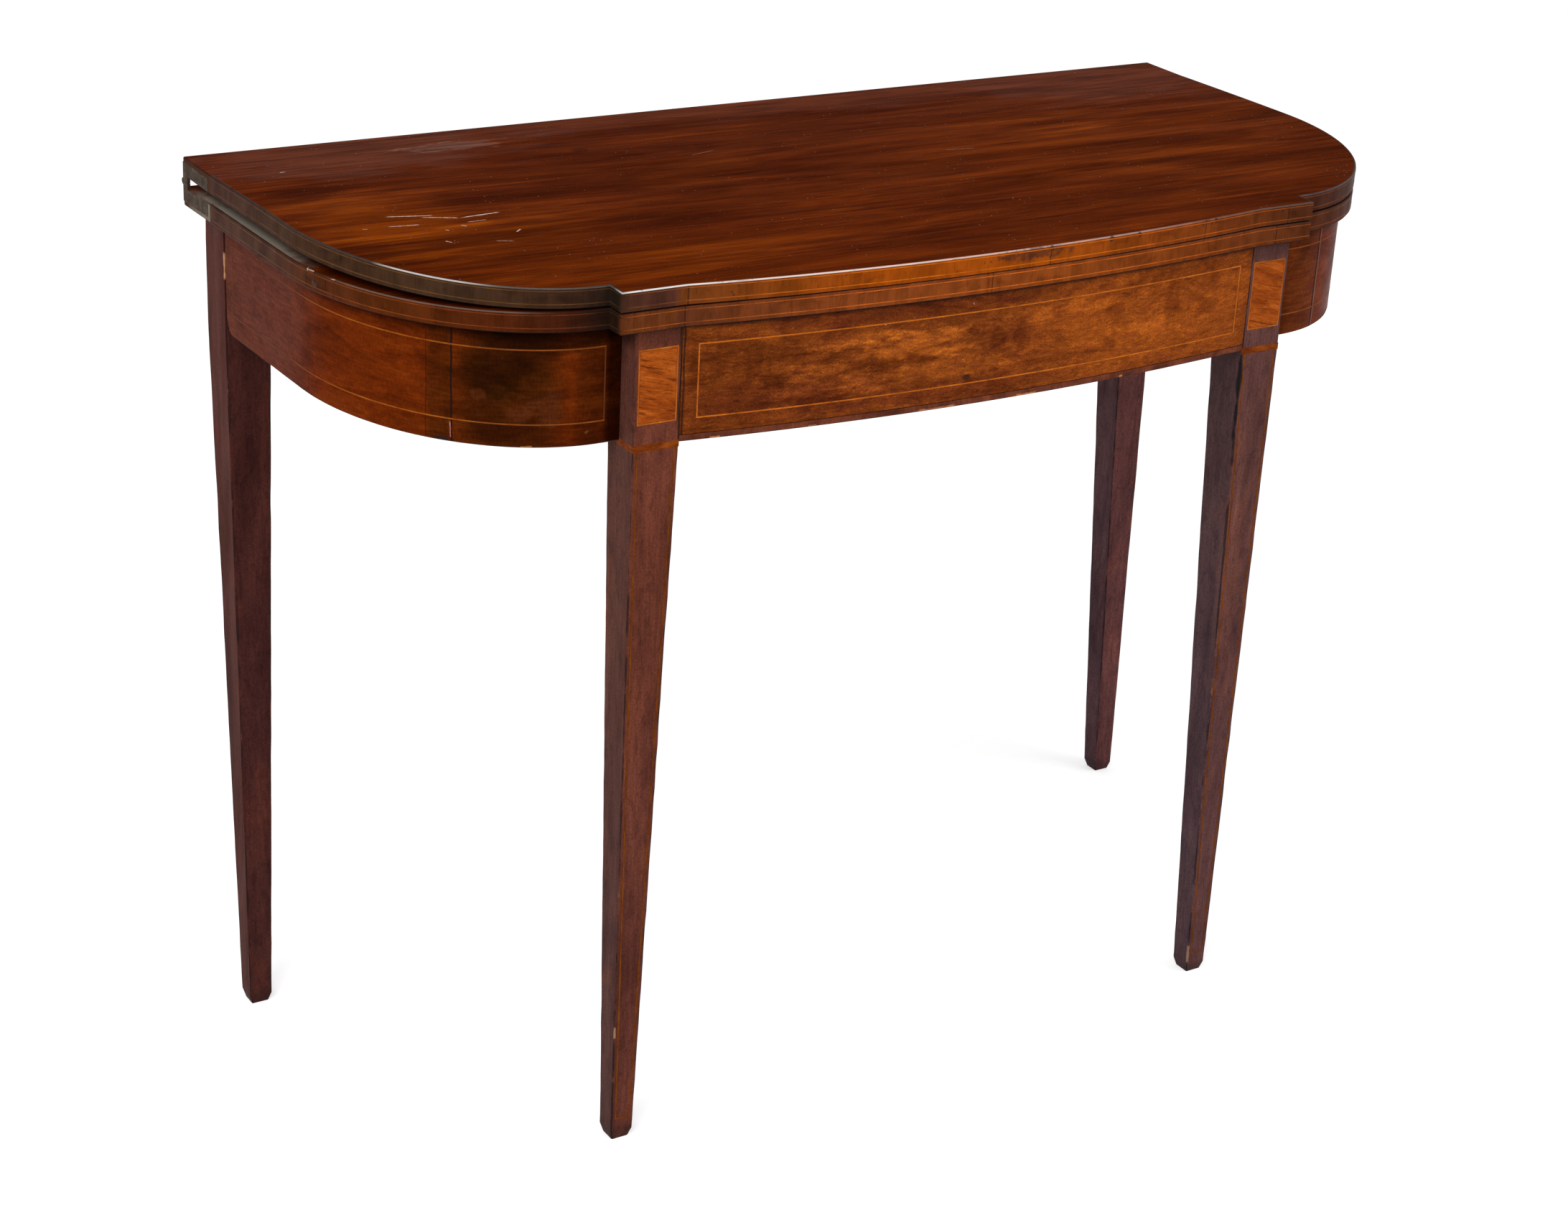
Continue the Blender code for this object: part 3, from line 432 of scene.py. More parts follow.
def leafRun():
    spacing = leafPlan["spacing"]
    stepBackY = stepFrontY + leafPlan["stepDepth"]
    left = straightRun(Vector((-leafHalf, bandHigh.y)), Vector((-leafHalf, curveStartY)), spacing)
    left += quarterCurve(Vector((-stepHalf, curveStartY)), leafHalf - stepHalf, curveStartY - stepBackY,
                         spacing)
    left += straightRun(Vector((-stepHalf, stepBackY)), Vector((-stepHalf, stepFrontY)), spacing)
    left += straightRun(Vector((-stepHalf, stepFrontY)), Vector((-legInnerX, stepFrontY)), spacing)
    return left + bowRun(legInnerX, stepFrontY, spacing) + mirrorRun(left)


def sideRun(side, rearY):
    # outer face of an end apron, from its rear end to the front leg
    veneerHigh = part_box("right_apron_veneer")[1]
    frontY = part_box("right_apron_veneer")[0].y
    outer = veneerHigh.x
    spacing = leafPlan["spacing"]
    run = straightRun(Vector((-outer, rearY)), Vector((-outer, curveStartY)), spacing)
    run += quarterCurve(Vector((-stepHalf, curveStartY)), outer - stepHalf, curveStartY - frontY, spacing)
    run += straightRun(Vector((-stepHalf, frontY)), Vector((-legHigh.x - 0.0001, frontY)), spacing)
    run.append(Vector((-legHigh.x - 0.0001, frontY)))
    return run if side < 0 else mirrorRun(run)


def pathLengths(path):
    total, found = 0.0, [0.0]
    for before, after in zip(path, path[1:]):
        total += (after - before).length
        found.append(total)
    return found


# How the old upper leaf has cupped: its ends stand higher between the front edge and the hinges.
# The middle stays flat, where the swung leg and its rail hold it up

cupping = {"rise": 0.0042, "flatShare": 0.88, "rightShare": 0.55, "flatMiddle": 0.045}

leafPath = leafRun()
frontY = bandLow.y


def cupRise(x, y):
    share = (y - frontY) / (leafBack - frontY) / cupping["flatShare"]
    if not 0 < share < 1:
        return 0.0
    outward = min(max((abs(x) - cupping["flatMiddle"]) / (leafHalf - cupping["flatMiddle"]), 0.0), 1.0)
    rise = cupping["rise"] * (cupping["rightShare"] if x > 0 else 1.0)
    return rise * math.sin(math.pi * share) * outward ** 2 * (3 - 2 * outward)


lowerBottom, lowerTopHeight = (corner.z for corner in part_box("lower_leaf"))
leafThickness = lowerTopHeight - lowerBottom
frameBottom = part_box("front_apron_lower_band")[0].z
leafFold = next(joint for joint in frame["record"]["behaviour"]["joints"] if joint["name"] == "leaf_fold")
foldPlace = Vector(leafFold["pos_m"])
upperBottom = lowerTopHeight + 2 * (foldPlace.z - lowerTopHeight)
upperEdgeTop = upperBottom + leafThickness
closedTilt = math.radians(leafFold["range_deg"][1] - 180)
upperTilt = (Matrix.Translation(foldPlace) @ Matrix.Rotation(closedTilt, 4, "X")
             @ Matrix.Translation(-foldPlace))


def onUpperLeaf(spot):
    # from the leaf as it is made flat to where it lies, tilted and cupped
    cup = cupRise(spot.x, spot.y)
    return upperTilt @ Vector((spot.x, spot.y, spot.z + cup))


def wander(spot, scale, size, seed=0.0):
    return noise.noise(Vector((spot.x * scale + seed, spot.y * scale, spot.z * scale))) * size


# Finishes of this table

topWood = {"dark": (0.066, 0.009, 0.0004), "middle": (0.101, 0.0142, 0.0003),
           "light": (0.148, 0.0225, 0.0005), "grain": (3.4, 20, 20), "swirl": 1.1, "polish": (0.26, 0.4),
           "contrast": (0.34, 0.66),
           "glow": (1.62, 1.85, 1.2), "haze": (0.125, 0.04, 0.025), "shade": (0.58, 0.5, 0.6),
           "dust": (0.42, 0.27, 0.2), "scratch": (0.8, 0.62, 0.54), "edges": (0.062, 0.03, 0.018),
           "bloom": (0.24, 0.12, 0.09), "crumbs": (0.26, 0.23, 0.18), "dirt": (0.03, 0.012, 0.01)}


def addTopFibres(finish):
    addFibres(finish, (9, 200, 200), 0.8, 1.16)
    addFibres(finish, (16, 640, 640), 0.8, 1.14)
    addPatches(finish, topWood["shade"], (7, 90, 90), 0.52, 0.66, 0.6, 0.6)
    addPores(finish, (34, 1150, 1150), 0.45)
    paint(finish, facingShare(finish, "Z", 0.85, 0), topWood["edges"])


def topPolish(name):
    finish = startFinish(name)
    addGrain(finish, topWood)
    addPatches(finish, topWood["shade"], (2.6, 11, 11), 0.48, 0.68, 0.38, 1.2)
    addPatches(finish, topWood["glow"], (5, 40, 40), 0.52, 0.74, 0.7, 0.8)
    return finish


def onTop(x, y):
    return onUpperLeaf(Vector((x, y, upperEdgeTop)))


def upperTop():
    # the closed table's top: worn, hazy and scratched by long use
    finish = topPolish("polished_mahogany_top")
    addAreas(finish, topWood, (
        (-0.43, 0, 0.07, 0.1, "glow", 0.85, 1.4, (9, 80, 80)),
        (-0.37, -0.06, 0.11, 0.06, "glow", 0.5, 1.4, (9, 80, 80)),
        (-0.28, -0.15, 0.16, 0.045, "glow", 0.45, 1.2, (7, 60, 60)),
        (-0.12, 0.05, 0.08, 0.04, "glow", 0.35, 1.3, (9, 60, 60)),
        (0.26, 0.02, 0.28, 0.13, "glow", 0.3, 1, (4, 40, 40)),
        (0.06, 0.14, 0.3, 0.07, "shade", 0.5, 0.9, (4, 34, 34)),
        (-0.06, 0.05, 0.26, 0.1, "shade", 0.42, 0.8, (3, 26, 26)),
        (-0.18, -0.085, 0.16, 0.018, "shade", 0.4, 1, (6, 60, 60)),
        (-0.44, 0.09, 0.05, 0.026, "shade", 0.75, 1.2, (12, 80, 80)),
        (-0.33, -0.035, 0.03, 0.01, "shade", 0.6, 1.2, (20, 90, 90)),
        (-0.181, 0.135, 0.01, 0.007, "shade", 0.9, 0.3, 80)))
    addAreas(finish, topWood, (
        (-0.38, 0.19, 0.19, 0.075, "haze", 0.55, 0.9, (14, 40, 40)),
        (-0.275, 0.182, 0.05, 0.012, "bloom", 0.45, 1.6, (50, 140, 140)),
        (0.06, 0.215, 0.42, 0.045, "haze", 0.35, 0.8, (8, 30, 30)),
        (0.4, 0.18, 0.17, 0.08, "haze", 0.45, 0.8, (12, 30, 30))), "MIX")
    addTopFibres(finish)
    # scratches: from, to, width and strength
    for x0, y0, x1, y1, width, strength in (
            (-0.419, 0.0085, -0.381, -0.0002, 0.0022, 0.95),
            (-0.393, -0.0016, -0.3645, -0.0124, 0.0022, 0.8),
            (-0.365, -0.0124, -0.3266, -0.008, 0.0026, 0.75),
            (-0.4277, -0.0163, -0.4013, -0.0189, 0.0018, 0.85),
            (-0.3645, -0.0245, -0.3466, -0.0231, 0.0016, 0.6),
            (-0.3648, -0.0743, -0.3509, -0.0793, 0.0016, 0.45),
            (-0.3393, -0.059, -0.3329, -0.0536, 0.0026, 0.7),
            (-0.4013, -0.063, -0.3978, -0.068, 0.004, 0.65),
            (-0.4481, -0.0154, -0.4441, -0.0169, 0.0014, 0.7), (-0.372, -0.03, -0.369, -0.034, 0.003, 0.55),
            (-0.389, -0.037, -0.387, -0.04, 0.0024, 0.6), (0.12, 0.03, 0.15, 0.026, 0.0012, 0.25),
            (-0.1, 0.09, -0.07, 0.098, 0.0012, 0.22), (-0.443, 0.156, -0.437, 0.1575, 0.0024, 0.6)):
        addScuff(finish, onTop(x0, y0), onTop(x1, y1), width * 0.65, topWood["scratch"], strength, 1.3)
    addSpecks(finish, topWood["dust"], 150, 0.1, 0.7)
    addSpecks(finish, topWood["dust"], 330, 0.12, 0.5, (0.44, 0.6))
    addArrisWearAndPaintedLight(finish, topWood["dirt"], (30, 60, 60), 0.3, 0.55, 0.7)
    return endFinish(finish, 0.0005)


def lowerTop():
    # the playing face below, with dust where the warped leaf leaves it bare
    finish = topPolish("polished_mahogany_playing_face")
    addTopFibres(finish)
    addArea(finish, (-0.495, 0.1), (0.03, 0.125), topWood["crumbs"], 0.9, ragged=0.45, scale=60)
    addArrisWearAndPaintedLight(finish, topWood["dirt"], (30, 60, 60), 0.3, 0.55, 0.7)
    return endFinish(finish, 0.0005)


edgeWood = {"grain": (60, 24, 40), "swirl": 0.4, "streaks": (0.8, 1.2), "polish": (0.34, 0.48),
            "grime": (0.022, 0.015, 0.014), "paintedHighlight": (0.86, 0.8, 0.78), "shade": (0.55, 0.48, 0.46),
            "paintedGapShadow": (0.009, 0.006, 0.006), "stain": (0.012, 0.01, 0.01), "ink": (0.02, 0.014, 0.012),
            "debris": (0.48, 0.4, 0.31), "bruise": (0.06, 0.045, 0.035), "underArrisTint": (0.24, 0.17, 0.17)}

# colours along an edge, from the left hinge round the front to the right one
upperEdgeLook = {
    "tones": ((0, 0.06, 0.023, 0.015), (0.1, 0.05, 0.0215, 0.0105), (0.2, 0.047, 0.0225, 0.011),
              (0.265, 0.04, 0.017, 0.009), (0.279, 0.02, 0.011, 0.007), (0.2915, 0.017, 0.011, 0.007),
              (0.2935, 0.056, 0.02, 0.011),
              (0.321, 0.068, 0.022, 0.014), (0.324, 0.125, 0.033, 0.007), (0.365, 0.175, 0.04, 0.005),
              (0.43, 0.29, 0.056, 0.003),
              (0.53, 0.28, 0.056, 0.0035), (0.6, 0.2, 0.042, 0.005), (0.67, 0.125, 0.029, 0.006),
              (0.71, 0.062, 0.018, 0.008), (0.8, 0.045, 0.017, 0.0125), (1, 0.06, 0.026, 0.019)),
    "paintedHighlight": ((0, 0), (0.165, 0.03), (0.175, 0.6), (0.212, 0.52), (0.228, 0.08), (0.285, 0.06), (0.298, 0.85),
              (0.43, 0.7), (0.5, 0.46), (0.57, 0.26), (0.63, 0.07), (0.74, 0.06), (0.86, 0.14), (1, 0.05)),
    "grime": ((0, 1), (0.155, 1), (0.17, 0), (0.62, 0), (0.72, 0.7), (1, 0.7)),
    "seams": (0.525, 0.845, 1.01, 1.106)}
lowerEdgeLook = {
    "tones": ((0, 0.07, 0.03, 0.019), (0.08, 0.062, 0.024, 0.014), (0.12, 0.078, 0.021, 0.007),
              # the dark stops from 0.262 to 0.2915, at the step, are painted shade
              (0.17, 0.086, 0.0195, 0.0036), (0.225, 0.074, 0.015, 0.0034), (0.262, 0.04, 0.0095, 0.0036),
              (0.279, 0.018, 0.008, 0.0048), (0.2915, 0.02, 0.009, 0.005), (0.2935, 0.11, 0.028, 0.008),
              (0.32, 0.125, 0.032, 0.008), (0.323, 0.088, 0.0225, 0.0085), (0.345, 0.125, 0.031, 0.009),
              (0.42, 0.2, 0.046, 0.0095), (0.53, 0.22, 0.05, 0.008), (0.62, 0.18, 0.039, 0.006),
              (0.7, 0.09, 0.024, 0.0075), (0.8, 0.052, 0.017, 0.0115), (1, 0.06, 0.026, 0.019)),
    "paintedHighlight": ((0, 0), (0.13, 0), (0.15, 0.08), (0.235, 0.08), (0.255, 0), (1, 0.02)),
    "grime": ((0, 0.5), (0.12, 0.5), (0.14, 0), (0.25, 0), (0.28, 0.6), (0.3, 0.2), (1, 0.5)),
    "underArrisTint": ((0, 1), (0.14, 0.8), (0.18, 0.1), (1, 0)),
    "seams": (0.188, 0.2, 0.523, 0.79, 1.095)}


def edgeBanding(name, look, length):
    finish = startFinish(name, "run")
    addTones(finish, length, look["tones"], edgeWood)
    addFibres(finish, (420, 14, 60), 0.92, 1.05)
    addPatches(finish, edgeWood["shade"], (22, 60, 30), 0.54, 0.68, 0.55, 0.8)
    addPatches(finish, edgeWood["shade"], (240, 30, 60), 0.62, 0.7, 0.6)
    addPores(finish, (1600, 120, 400), 0.3)
    for place in look["seams"]:
        addCrack(finish, place, 0.001, 0.65, wobble=0.0015)
    # painted shadow on the lower arris, in the dark gap under each leaf
    addArrisWearAndPaintedLight(finish, edgeWood["paintedGapShadow"], (30, 30, 30), 0.12, 0.4, 0.97, lowerArris)
    addArrisWearAndPaintedLight(finish, edgeWood["grime"], (40, 90, 90), 0.3, 0.5, 0.8, stops=look["grime"], length=length)
    # painted highlight along the top arris of each edge, where lamps would glint on the rounded edge
    addArrisWearAndPaintedLight(finish, edgeWood["paintedHighlight"], (26, 200, 200), 0.28, 0.44, 0.95, stops=look["paintedHighlight"], length=length)
    return finish


def upperEdge(length):
    finish = edgeBanding("upper_cross_banding", upperEdgeLook, length)
    addSpecks(finish, edgeWood["stain"], 130, 0.2, 0.55, (0.52, 0.6))
    addAreas(finish, edgeWood, ((0.83, upperEdgeTop - 0.005, 0.035, 0.006, "grime", 0.6, 1.7, 130),
                                (1.01, upperEdgeTop - 0.003, 0.012, 0.003, "grime", 0.5, 1.7, 130)), "MIX")
    for place in (0.845, 0.905, 0.935, 1.02):
        addScuff(finish, (place, upperEdgeTop), (place + 0.003, upperEdgeTop - 0.004), 0.005, edgeWood["ink"],
                 0.75, 1)
    return endFinish(finish, 0.008)


def lowerEdge(length):
    finish = edgeBanding("lower_cross_banding", lowerEdgeLook, length)
    top = lowerTopHeight
    for start, end, width in ((0.189, 0.199, 0.0018), (0.22, 0.225, 0.0014), (0.1885, 0.19, 0.0046)):
        addScuff(finish, (start, top - 0.001, 0.0005), (end, top - 0.0003, 0.0005), width * 0.8,
                 edgeWood["debris"], 0.7, 0.8)
    addScuff(finish, (0.195, top - 0.0085), (0.202, top - 0.012), 0.005, edgeWood["bruise"], 0.8, 0.6)
    # painted reflection of the white floor on the lower arris, palest at the left end
    addArrisWearAndPaintedLight(finish, edgeWood["underArrisTint"], (20, 90, 90), 0.3, 0.5, 0.42, lowerArris,
            lowerEdgeLook["underArrisTint"], length)
    return endFinish(finish, 0.008)


frontWood = {"dark": (0.135, 0.029, 0.005), "middle": (0.19, 0.041, 0.0064), "light": (0.245, 0.055, 0.0078),
             "grain": (12, 34, 30), "swirl": 1.8, "polish": (0.36, 0.5), "flame": (1.95, 2.1, 1.8),
             "gold": (0.3, 0.066, 0.008), "shade": (0.5, 0.44, 0.46), "black": (0.02, 0.01, 0.008),
             "purple": (0.66, 0.58, 1), "curl": (1.45, 1.58, 1.1), "mottle": (1.2, 1.24, 1.2),
             "chip": (0.6, 0.5, 0.42)}


def frontVeneer():
    # flame figure in the left half, plainer and more golden to the right
    finish = startFinish("mottled_front_veneer", "run")
    shade = frontWood["shade"]
    addGrain(finish, frontWood)
    addArea(finish, (0.44, 0.655), (0.17, 0.06), frontWood["gold"], 0.8, scale=(9, 20, 20))
    addPatches(finish, shade, (10, 30, 16), 0.48, 0.66, 0.55, 2.4)
    addAreas(finish, frontWood, (
        (0.2, 0.668, 0.055, 0.013, "flame", 0.85, 1.7, (36, 110, 60)),
        (0.15, 0.678, 0.05, 0.008, "flame", 0.5, 1.7, (36, 110, 60)),
        (0.118, 0.65, 0.045, 0.012, "flame", 0.65, 1.9, (30, 120, 60)),
        (0.15, 0.636, 0.045, 0.006, "flame", 0.5, 1.9, (30, 140, 60)),
        (0.235, 0.646, 0.06, 0.014, "flame", 0.4, 1.9, (40, 120, 60)),
        (0.118, 0.634, 0.04, 0.008, "shade", 0.85, 1.3, (30, 90, 30)),
        (0.35, 0.68, 0.06, 0.008, "flame", 0.4, 1.7, (40, 90, 60)),
        (0.43, 0.65, 0.06, 0.01, "flame", 0.4, 1.7, (50, 70, 60)),
        (0.46, 0.664, 0.01, 0.03, "shade", 0.5, 1.2, (90, 26, 30)),
        (0.075, 0.652, 0.016, 0.01, "shade", 0.75, 1.3, (50, 70, 30)),
        (0.06, 0.676, 0.06, 0.014, "shade", 0.45, 1.2, (60, 40, 30)),
        (0.18, 0.655, 0.06, 0.005, "shade", 0.6, 1.5, (40, 110, 30)),
        (0.3, 0.664, 0.008, 0.014, "shade", 0.7, 1.2, (70, 60, 30)),
        (0.28, 0.662, 0.012, 0.01, "shade", 0.6, 1.2, (60, 50, 30)),
        (0.33, 0.64, 0.06, 0.004, "shade", 0.5, 1.4, (40, 110, 30)),
        (0.4, 0.672, 0.012, 0.014, "shade", 0.45, 1.4, (60, 60, 30)),
        (0.035, 0.64, 0.045, 0.06, "shade", 0.4, 1.2, (90, 26, 30)),
        (0.48, 0.69, 0.08, 0.012, "shade", 0.5, 1, (80, 20, 30)),
        (0.2, 0.697, 0.15, 0.008, "purple", 0.85, 1, (20, 60, 30)),
        (0.08, 0.64, 0.11, 0.018, "purple", 0.7, 1, (30, 60, 30)),
        (0.23, 0.628, 0.11, 0.01, "purple", 0.6, 1.2, (30, 60, 30)),
        (0.3, 0.664, 0.03, 0.02, "purple", 0.55, 1.2, (40, 60, 30))))
    addPatches(finish, frontWood["purple"], (20, 70, 40), 0.5, 0.62, 0.6, 2.6)
    addPatches(finish, frontWood["curl"], (70, 190, 80), 0.53, 0.63, 0.75, 3.2)
    addPatches(finish, shade, (60, 170, 80), 0.54, 0.66, 0.45, 3)
    addPatches(finish, frontWood["mottle"], (90, 260, 90), 0.52, 0.66, 0.55, 1.2)
    addArea(finish, (0.25, 0.636), (0.0048, 0.0028), frontWood["black"], 0.8, scale=160)
    # painted shadow of the lower leaf: a dark band along the top of the apron
    addArea(finish, (0.7075,), (0.0075,), frontWood["black"], 0.85, ragged=0.25, scale=(30, 60, 60),
            axes=(1,))
    addFibres(finish, (70, 520, 200), 0.9, 1.08)
    addFibres(finish, (760, 640, 400), 0.8, 1.18)
    addFibres(finish, (150, 9, 40), 0.93, 1.05)
    addPores(finish, (500, 1100, 600), 0.4)
    addCrack(finish, 0.0016, 0.0016, 0.7)
    addScuffs(finish, frontWood, (((0.171, 0.6885), (0.1725, 0.6885), 0.0018, "chip", 0.8, 0.3),
                                  ((0.252, 0.696), (0.2526, 0.696), 0.0018, "chip", 0.8, 0.3)))
    return endFinish(finish, 0.01)


bandWood = {"dark": (0.07, 0.019, 0.01), "middle": (0.125, 0.033, 0.017), "light": (0.19, 0.05, 0.022),
            "grain": (46, 60, 40), "swirl": 0.6, "polish": (0.36, 0.5), "contrast": (0.34, 0.66),
            "chip": (0.52, 0.22, 0.08), "dirt": (0.025, 0.015, 0.013)}


def lowerBanding():
    # the dark band below, with chips of bare wood along its arris
    finish = startFinish("dark_lower_band", "run")
    addGrain(finish, bandWood)
    addFibres(finish, (500, 60, 80), 0.8, 1.1)
    for start, end in ((0.024, 0.034), (0.108, 0.116), (0.205, 0.243), (0.3, 0.322), (0.408, 0.412)):
        addScuff(finish, (start, frameBottom), (end, frameBottom), 0.0042, bandWood["chip"], 0.8, 1.1)
    addArrisWearAndPaintedLight(finish, bandWood["dirt"], (60, 60, 60), 0.42, 0.56, 0.8, lowerArris)
    return endFinish(finish, 0.015)


sideWood = {"dark": (0.088, 0.013, 0.0014), "middle": (0.142, 0.02, 0.0016), "light": (0.195, 0.032, 0.0028),
            "grain": (10, 34, 30), "swirl": 0.8, "polish": (0.34, 0.48), "purple": (0.125, 0.031, 0.0175),
            "shade": (0.36, 0.5, 0.7), "ember": (0.088, 0.02, 0.005), "paintedSheen": (0.072, 0.026, 0.026),
            "underArrisTint": (0.1, 0.07, 0.062), "rightUnderArrisTint": (0.05, 0.034, 0.03), "pale": (0.2, 0.15, 0.13)}


def addSideFibres(finish):
    addFibres(finish, (60, 380, 200), 0.8, 1.12)
    addFibres(finish, (700, 200, 300), 0.84, 1.12)
    addPores(finish, (120, 1300, 600), 0.3)


def leftVeneer():
    # purple-brown behind, orange on the curve, then dark and split beside the front leg, with painted shade
    # in the strip next to the leg and along the top under the leaf
    finish = startFinish("left_end_veneer", "run")
    addGrain(finish, sideWood)
    addArea(finish, (0.06, 0.658), (0.125, 0.2), sideWood["purple"], 0.92, ragged=0.12, scale=20)
    addAreas(finish, sideWood, (
        (0.3075, 0.658, 0.013, 0.2, (0.55, 0.7, 0.85), 0.9, 0.2, 30),
        (0.362, 0.658, 0.052, 0.2, "shade", 0.97, 0.12, (14, 30, 30)),
        (0.35, 0.668, 0.034, 0.026, (0.34, 0.42, 0.5), 0.75, 1, 44),
        # painted shade in the narrow strip between the line's end and the front leg
        (0.446, 0.658, 0.014, 0.2, (0.14, 0.16, 0.22), 0.95, 0.2, 30),
        (0.424, 0.66, 0.016, 0.1, (0.45, 0.55, 0.7), 0.85, 0.3, 40),
        (0.4, 0.622, 0.09, 0.012, (0.6, 0.5, 0.5), 0.7, 0.5, 40),
        # painted shade along the top of the apron, under the lower leaf (this row and the next)
        (0.23, 0.706, 0.3, 0.012, (0.3, 0.28, 0.3), 0.8, 0.3, 30),
        (0.4, 0.7, 0.08, 0.016, (0.22, 0.25, 0.3), 0.85, 0.4, 30)))
    addAreas(finish, sideWood, (
        (0.39, 0.644, 0.018, 0.016, "ember", 0.7, 1.2, 80),
        (0.37, 0.637, 0.012, 0.007, "ember", 0.7, 1.2, 80),
        (0.338, 0.652, 0.008, 0.006, "ember", 0.7, 1.2, 80)), "MIX")
    addPatches(finish, (0.55, 0.52, 0.6), (16, 24, 20), 0.5, 0.68, 0.6, 1)
    addPatches(finish, (0.7, 0.66, 0.7), (50, 90, 60), 0.5, 0.66, 0.6, 0.8)
    addSideFibres(finish)
    addCrack(finish, 0.2965, 0.0007, 0.6)
    addCrack(finish, 0.3175, 0.0014, 0.95)
    addCrack(finish, 0.1655, 0.0006, 0.3)
    # rubbed wood by the leg, the notch below the split, bare wood in the split, a chip
    addScuffs(finish, sideWood, (
        ((0.4195, 0.6215), (0.4225, 0.624), 0.0036, (0.16, 0.05, 0.012), 0.6, 1),
        ((0.304, frameBottom), (0.316, frameBottom), 0.009, (0.02, 0.012, 0.01), 0.9, 0.8),
        ((0.3172, 0.615), (0.3166, 0.629), 0.0013, (0.5, 0.19, 0.17), 0.7, 0.8),
        ((0.37, frameBottom), (0.38, frameBottom), 0.004, (0.4, 0.17, 0.06), 0.8, 0.8)))
    addArrisWearAndPaintedLight(finish, sideWood["underArrisTint"], (26, 26, 26), 0.4, 0.6, 0.7, lowerArris)
    return endFinish(finish, 0.006)


def rightVeneer():
    finish = startFinish("right_end_veneer", "run")
    addGrain(finish, sideWood)
    # painted purple-grey sheen over the side of the apron, from the joint by the front leg to the rear
    addArea(finish, (0.27, 0.658), (0.215, 0.3), sideWood["paintedSheen"], 0.92, ragged=0.08, scale=20)
    # painted shade along the top of the apron, under the lower leaf
    addArea(finish, (0.12, 0.706), (0.3, 0.014), (0.45, 0.42, 0.45), 0.75, "MULTIPLY", 0.4, 30)
    addArea(finish, (0.03, 0.658), (0.04, 0.1), (0.78, 1.15, 2.6), 0.8, "MULTIPLY", 0.6, 30)
    addPatches(finish, (0.42, 0.42, 0.52), (16, 20, 20), 0.5, 0.68, 0.6, 1)
    addSideFibres(finish)
    addCrack(finish, 0.0632, 0.001, 0.65, sideWood["pale"], 0.002, 0.0001)
    addCrack(finish, 0.0605, 0.0022, 0.8)
    addArrisWearAndPaintedLight(finish, sideWood["rightUnderArrisTint"], (26, 26, 26), 0.4, 0.6, 0.7, lowerArris)
    return endFinish(finish, 0.01)


legWood = {"dark": (0.072, 0.021, 0.0135), "middle": (0.095, 0.0275, 0.0175), "light": (0.123, 0.036, 0.0215),
           "grain": (40, 40, 5), "swirl": 0.8, "polish": (0.4, 0.54), "worn": (0.26, 0.105, 0.05),
           "pale": (0.42, 0.25, 0.15), "grime": (0.012, 0.008, 0.008),
           "swinging": (0.63, 0.61, 0.76), "rightRear": (1.38, 1.62, 2.2), "leftFront": (1.4, 1.3, 1.2),
           "rightFront": (1.2, 1.6, 2.15), "dust": (0.3, 0.19, 0.14), "split": (0.26, 0.1, 0.035),
           "fresh": (0.5, 0.26, 0.13)}


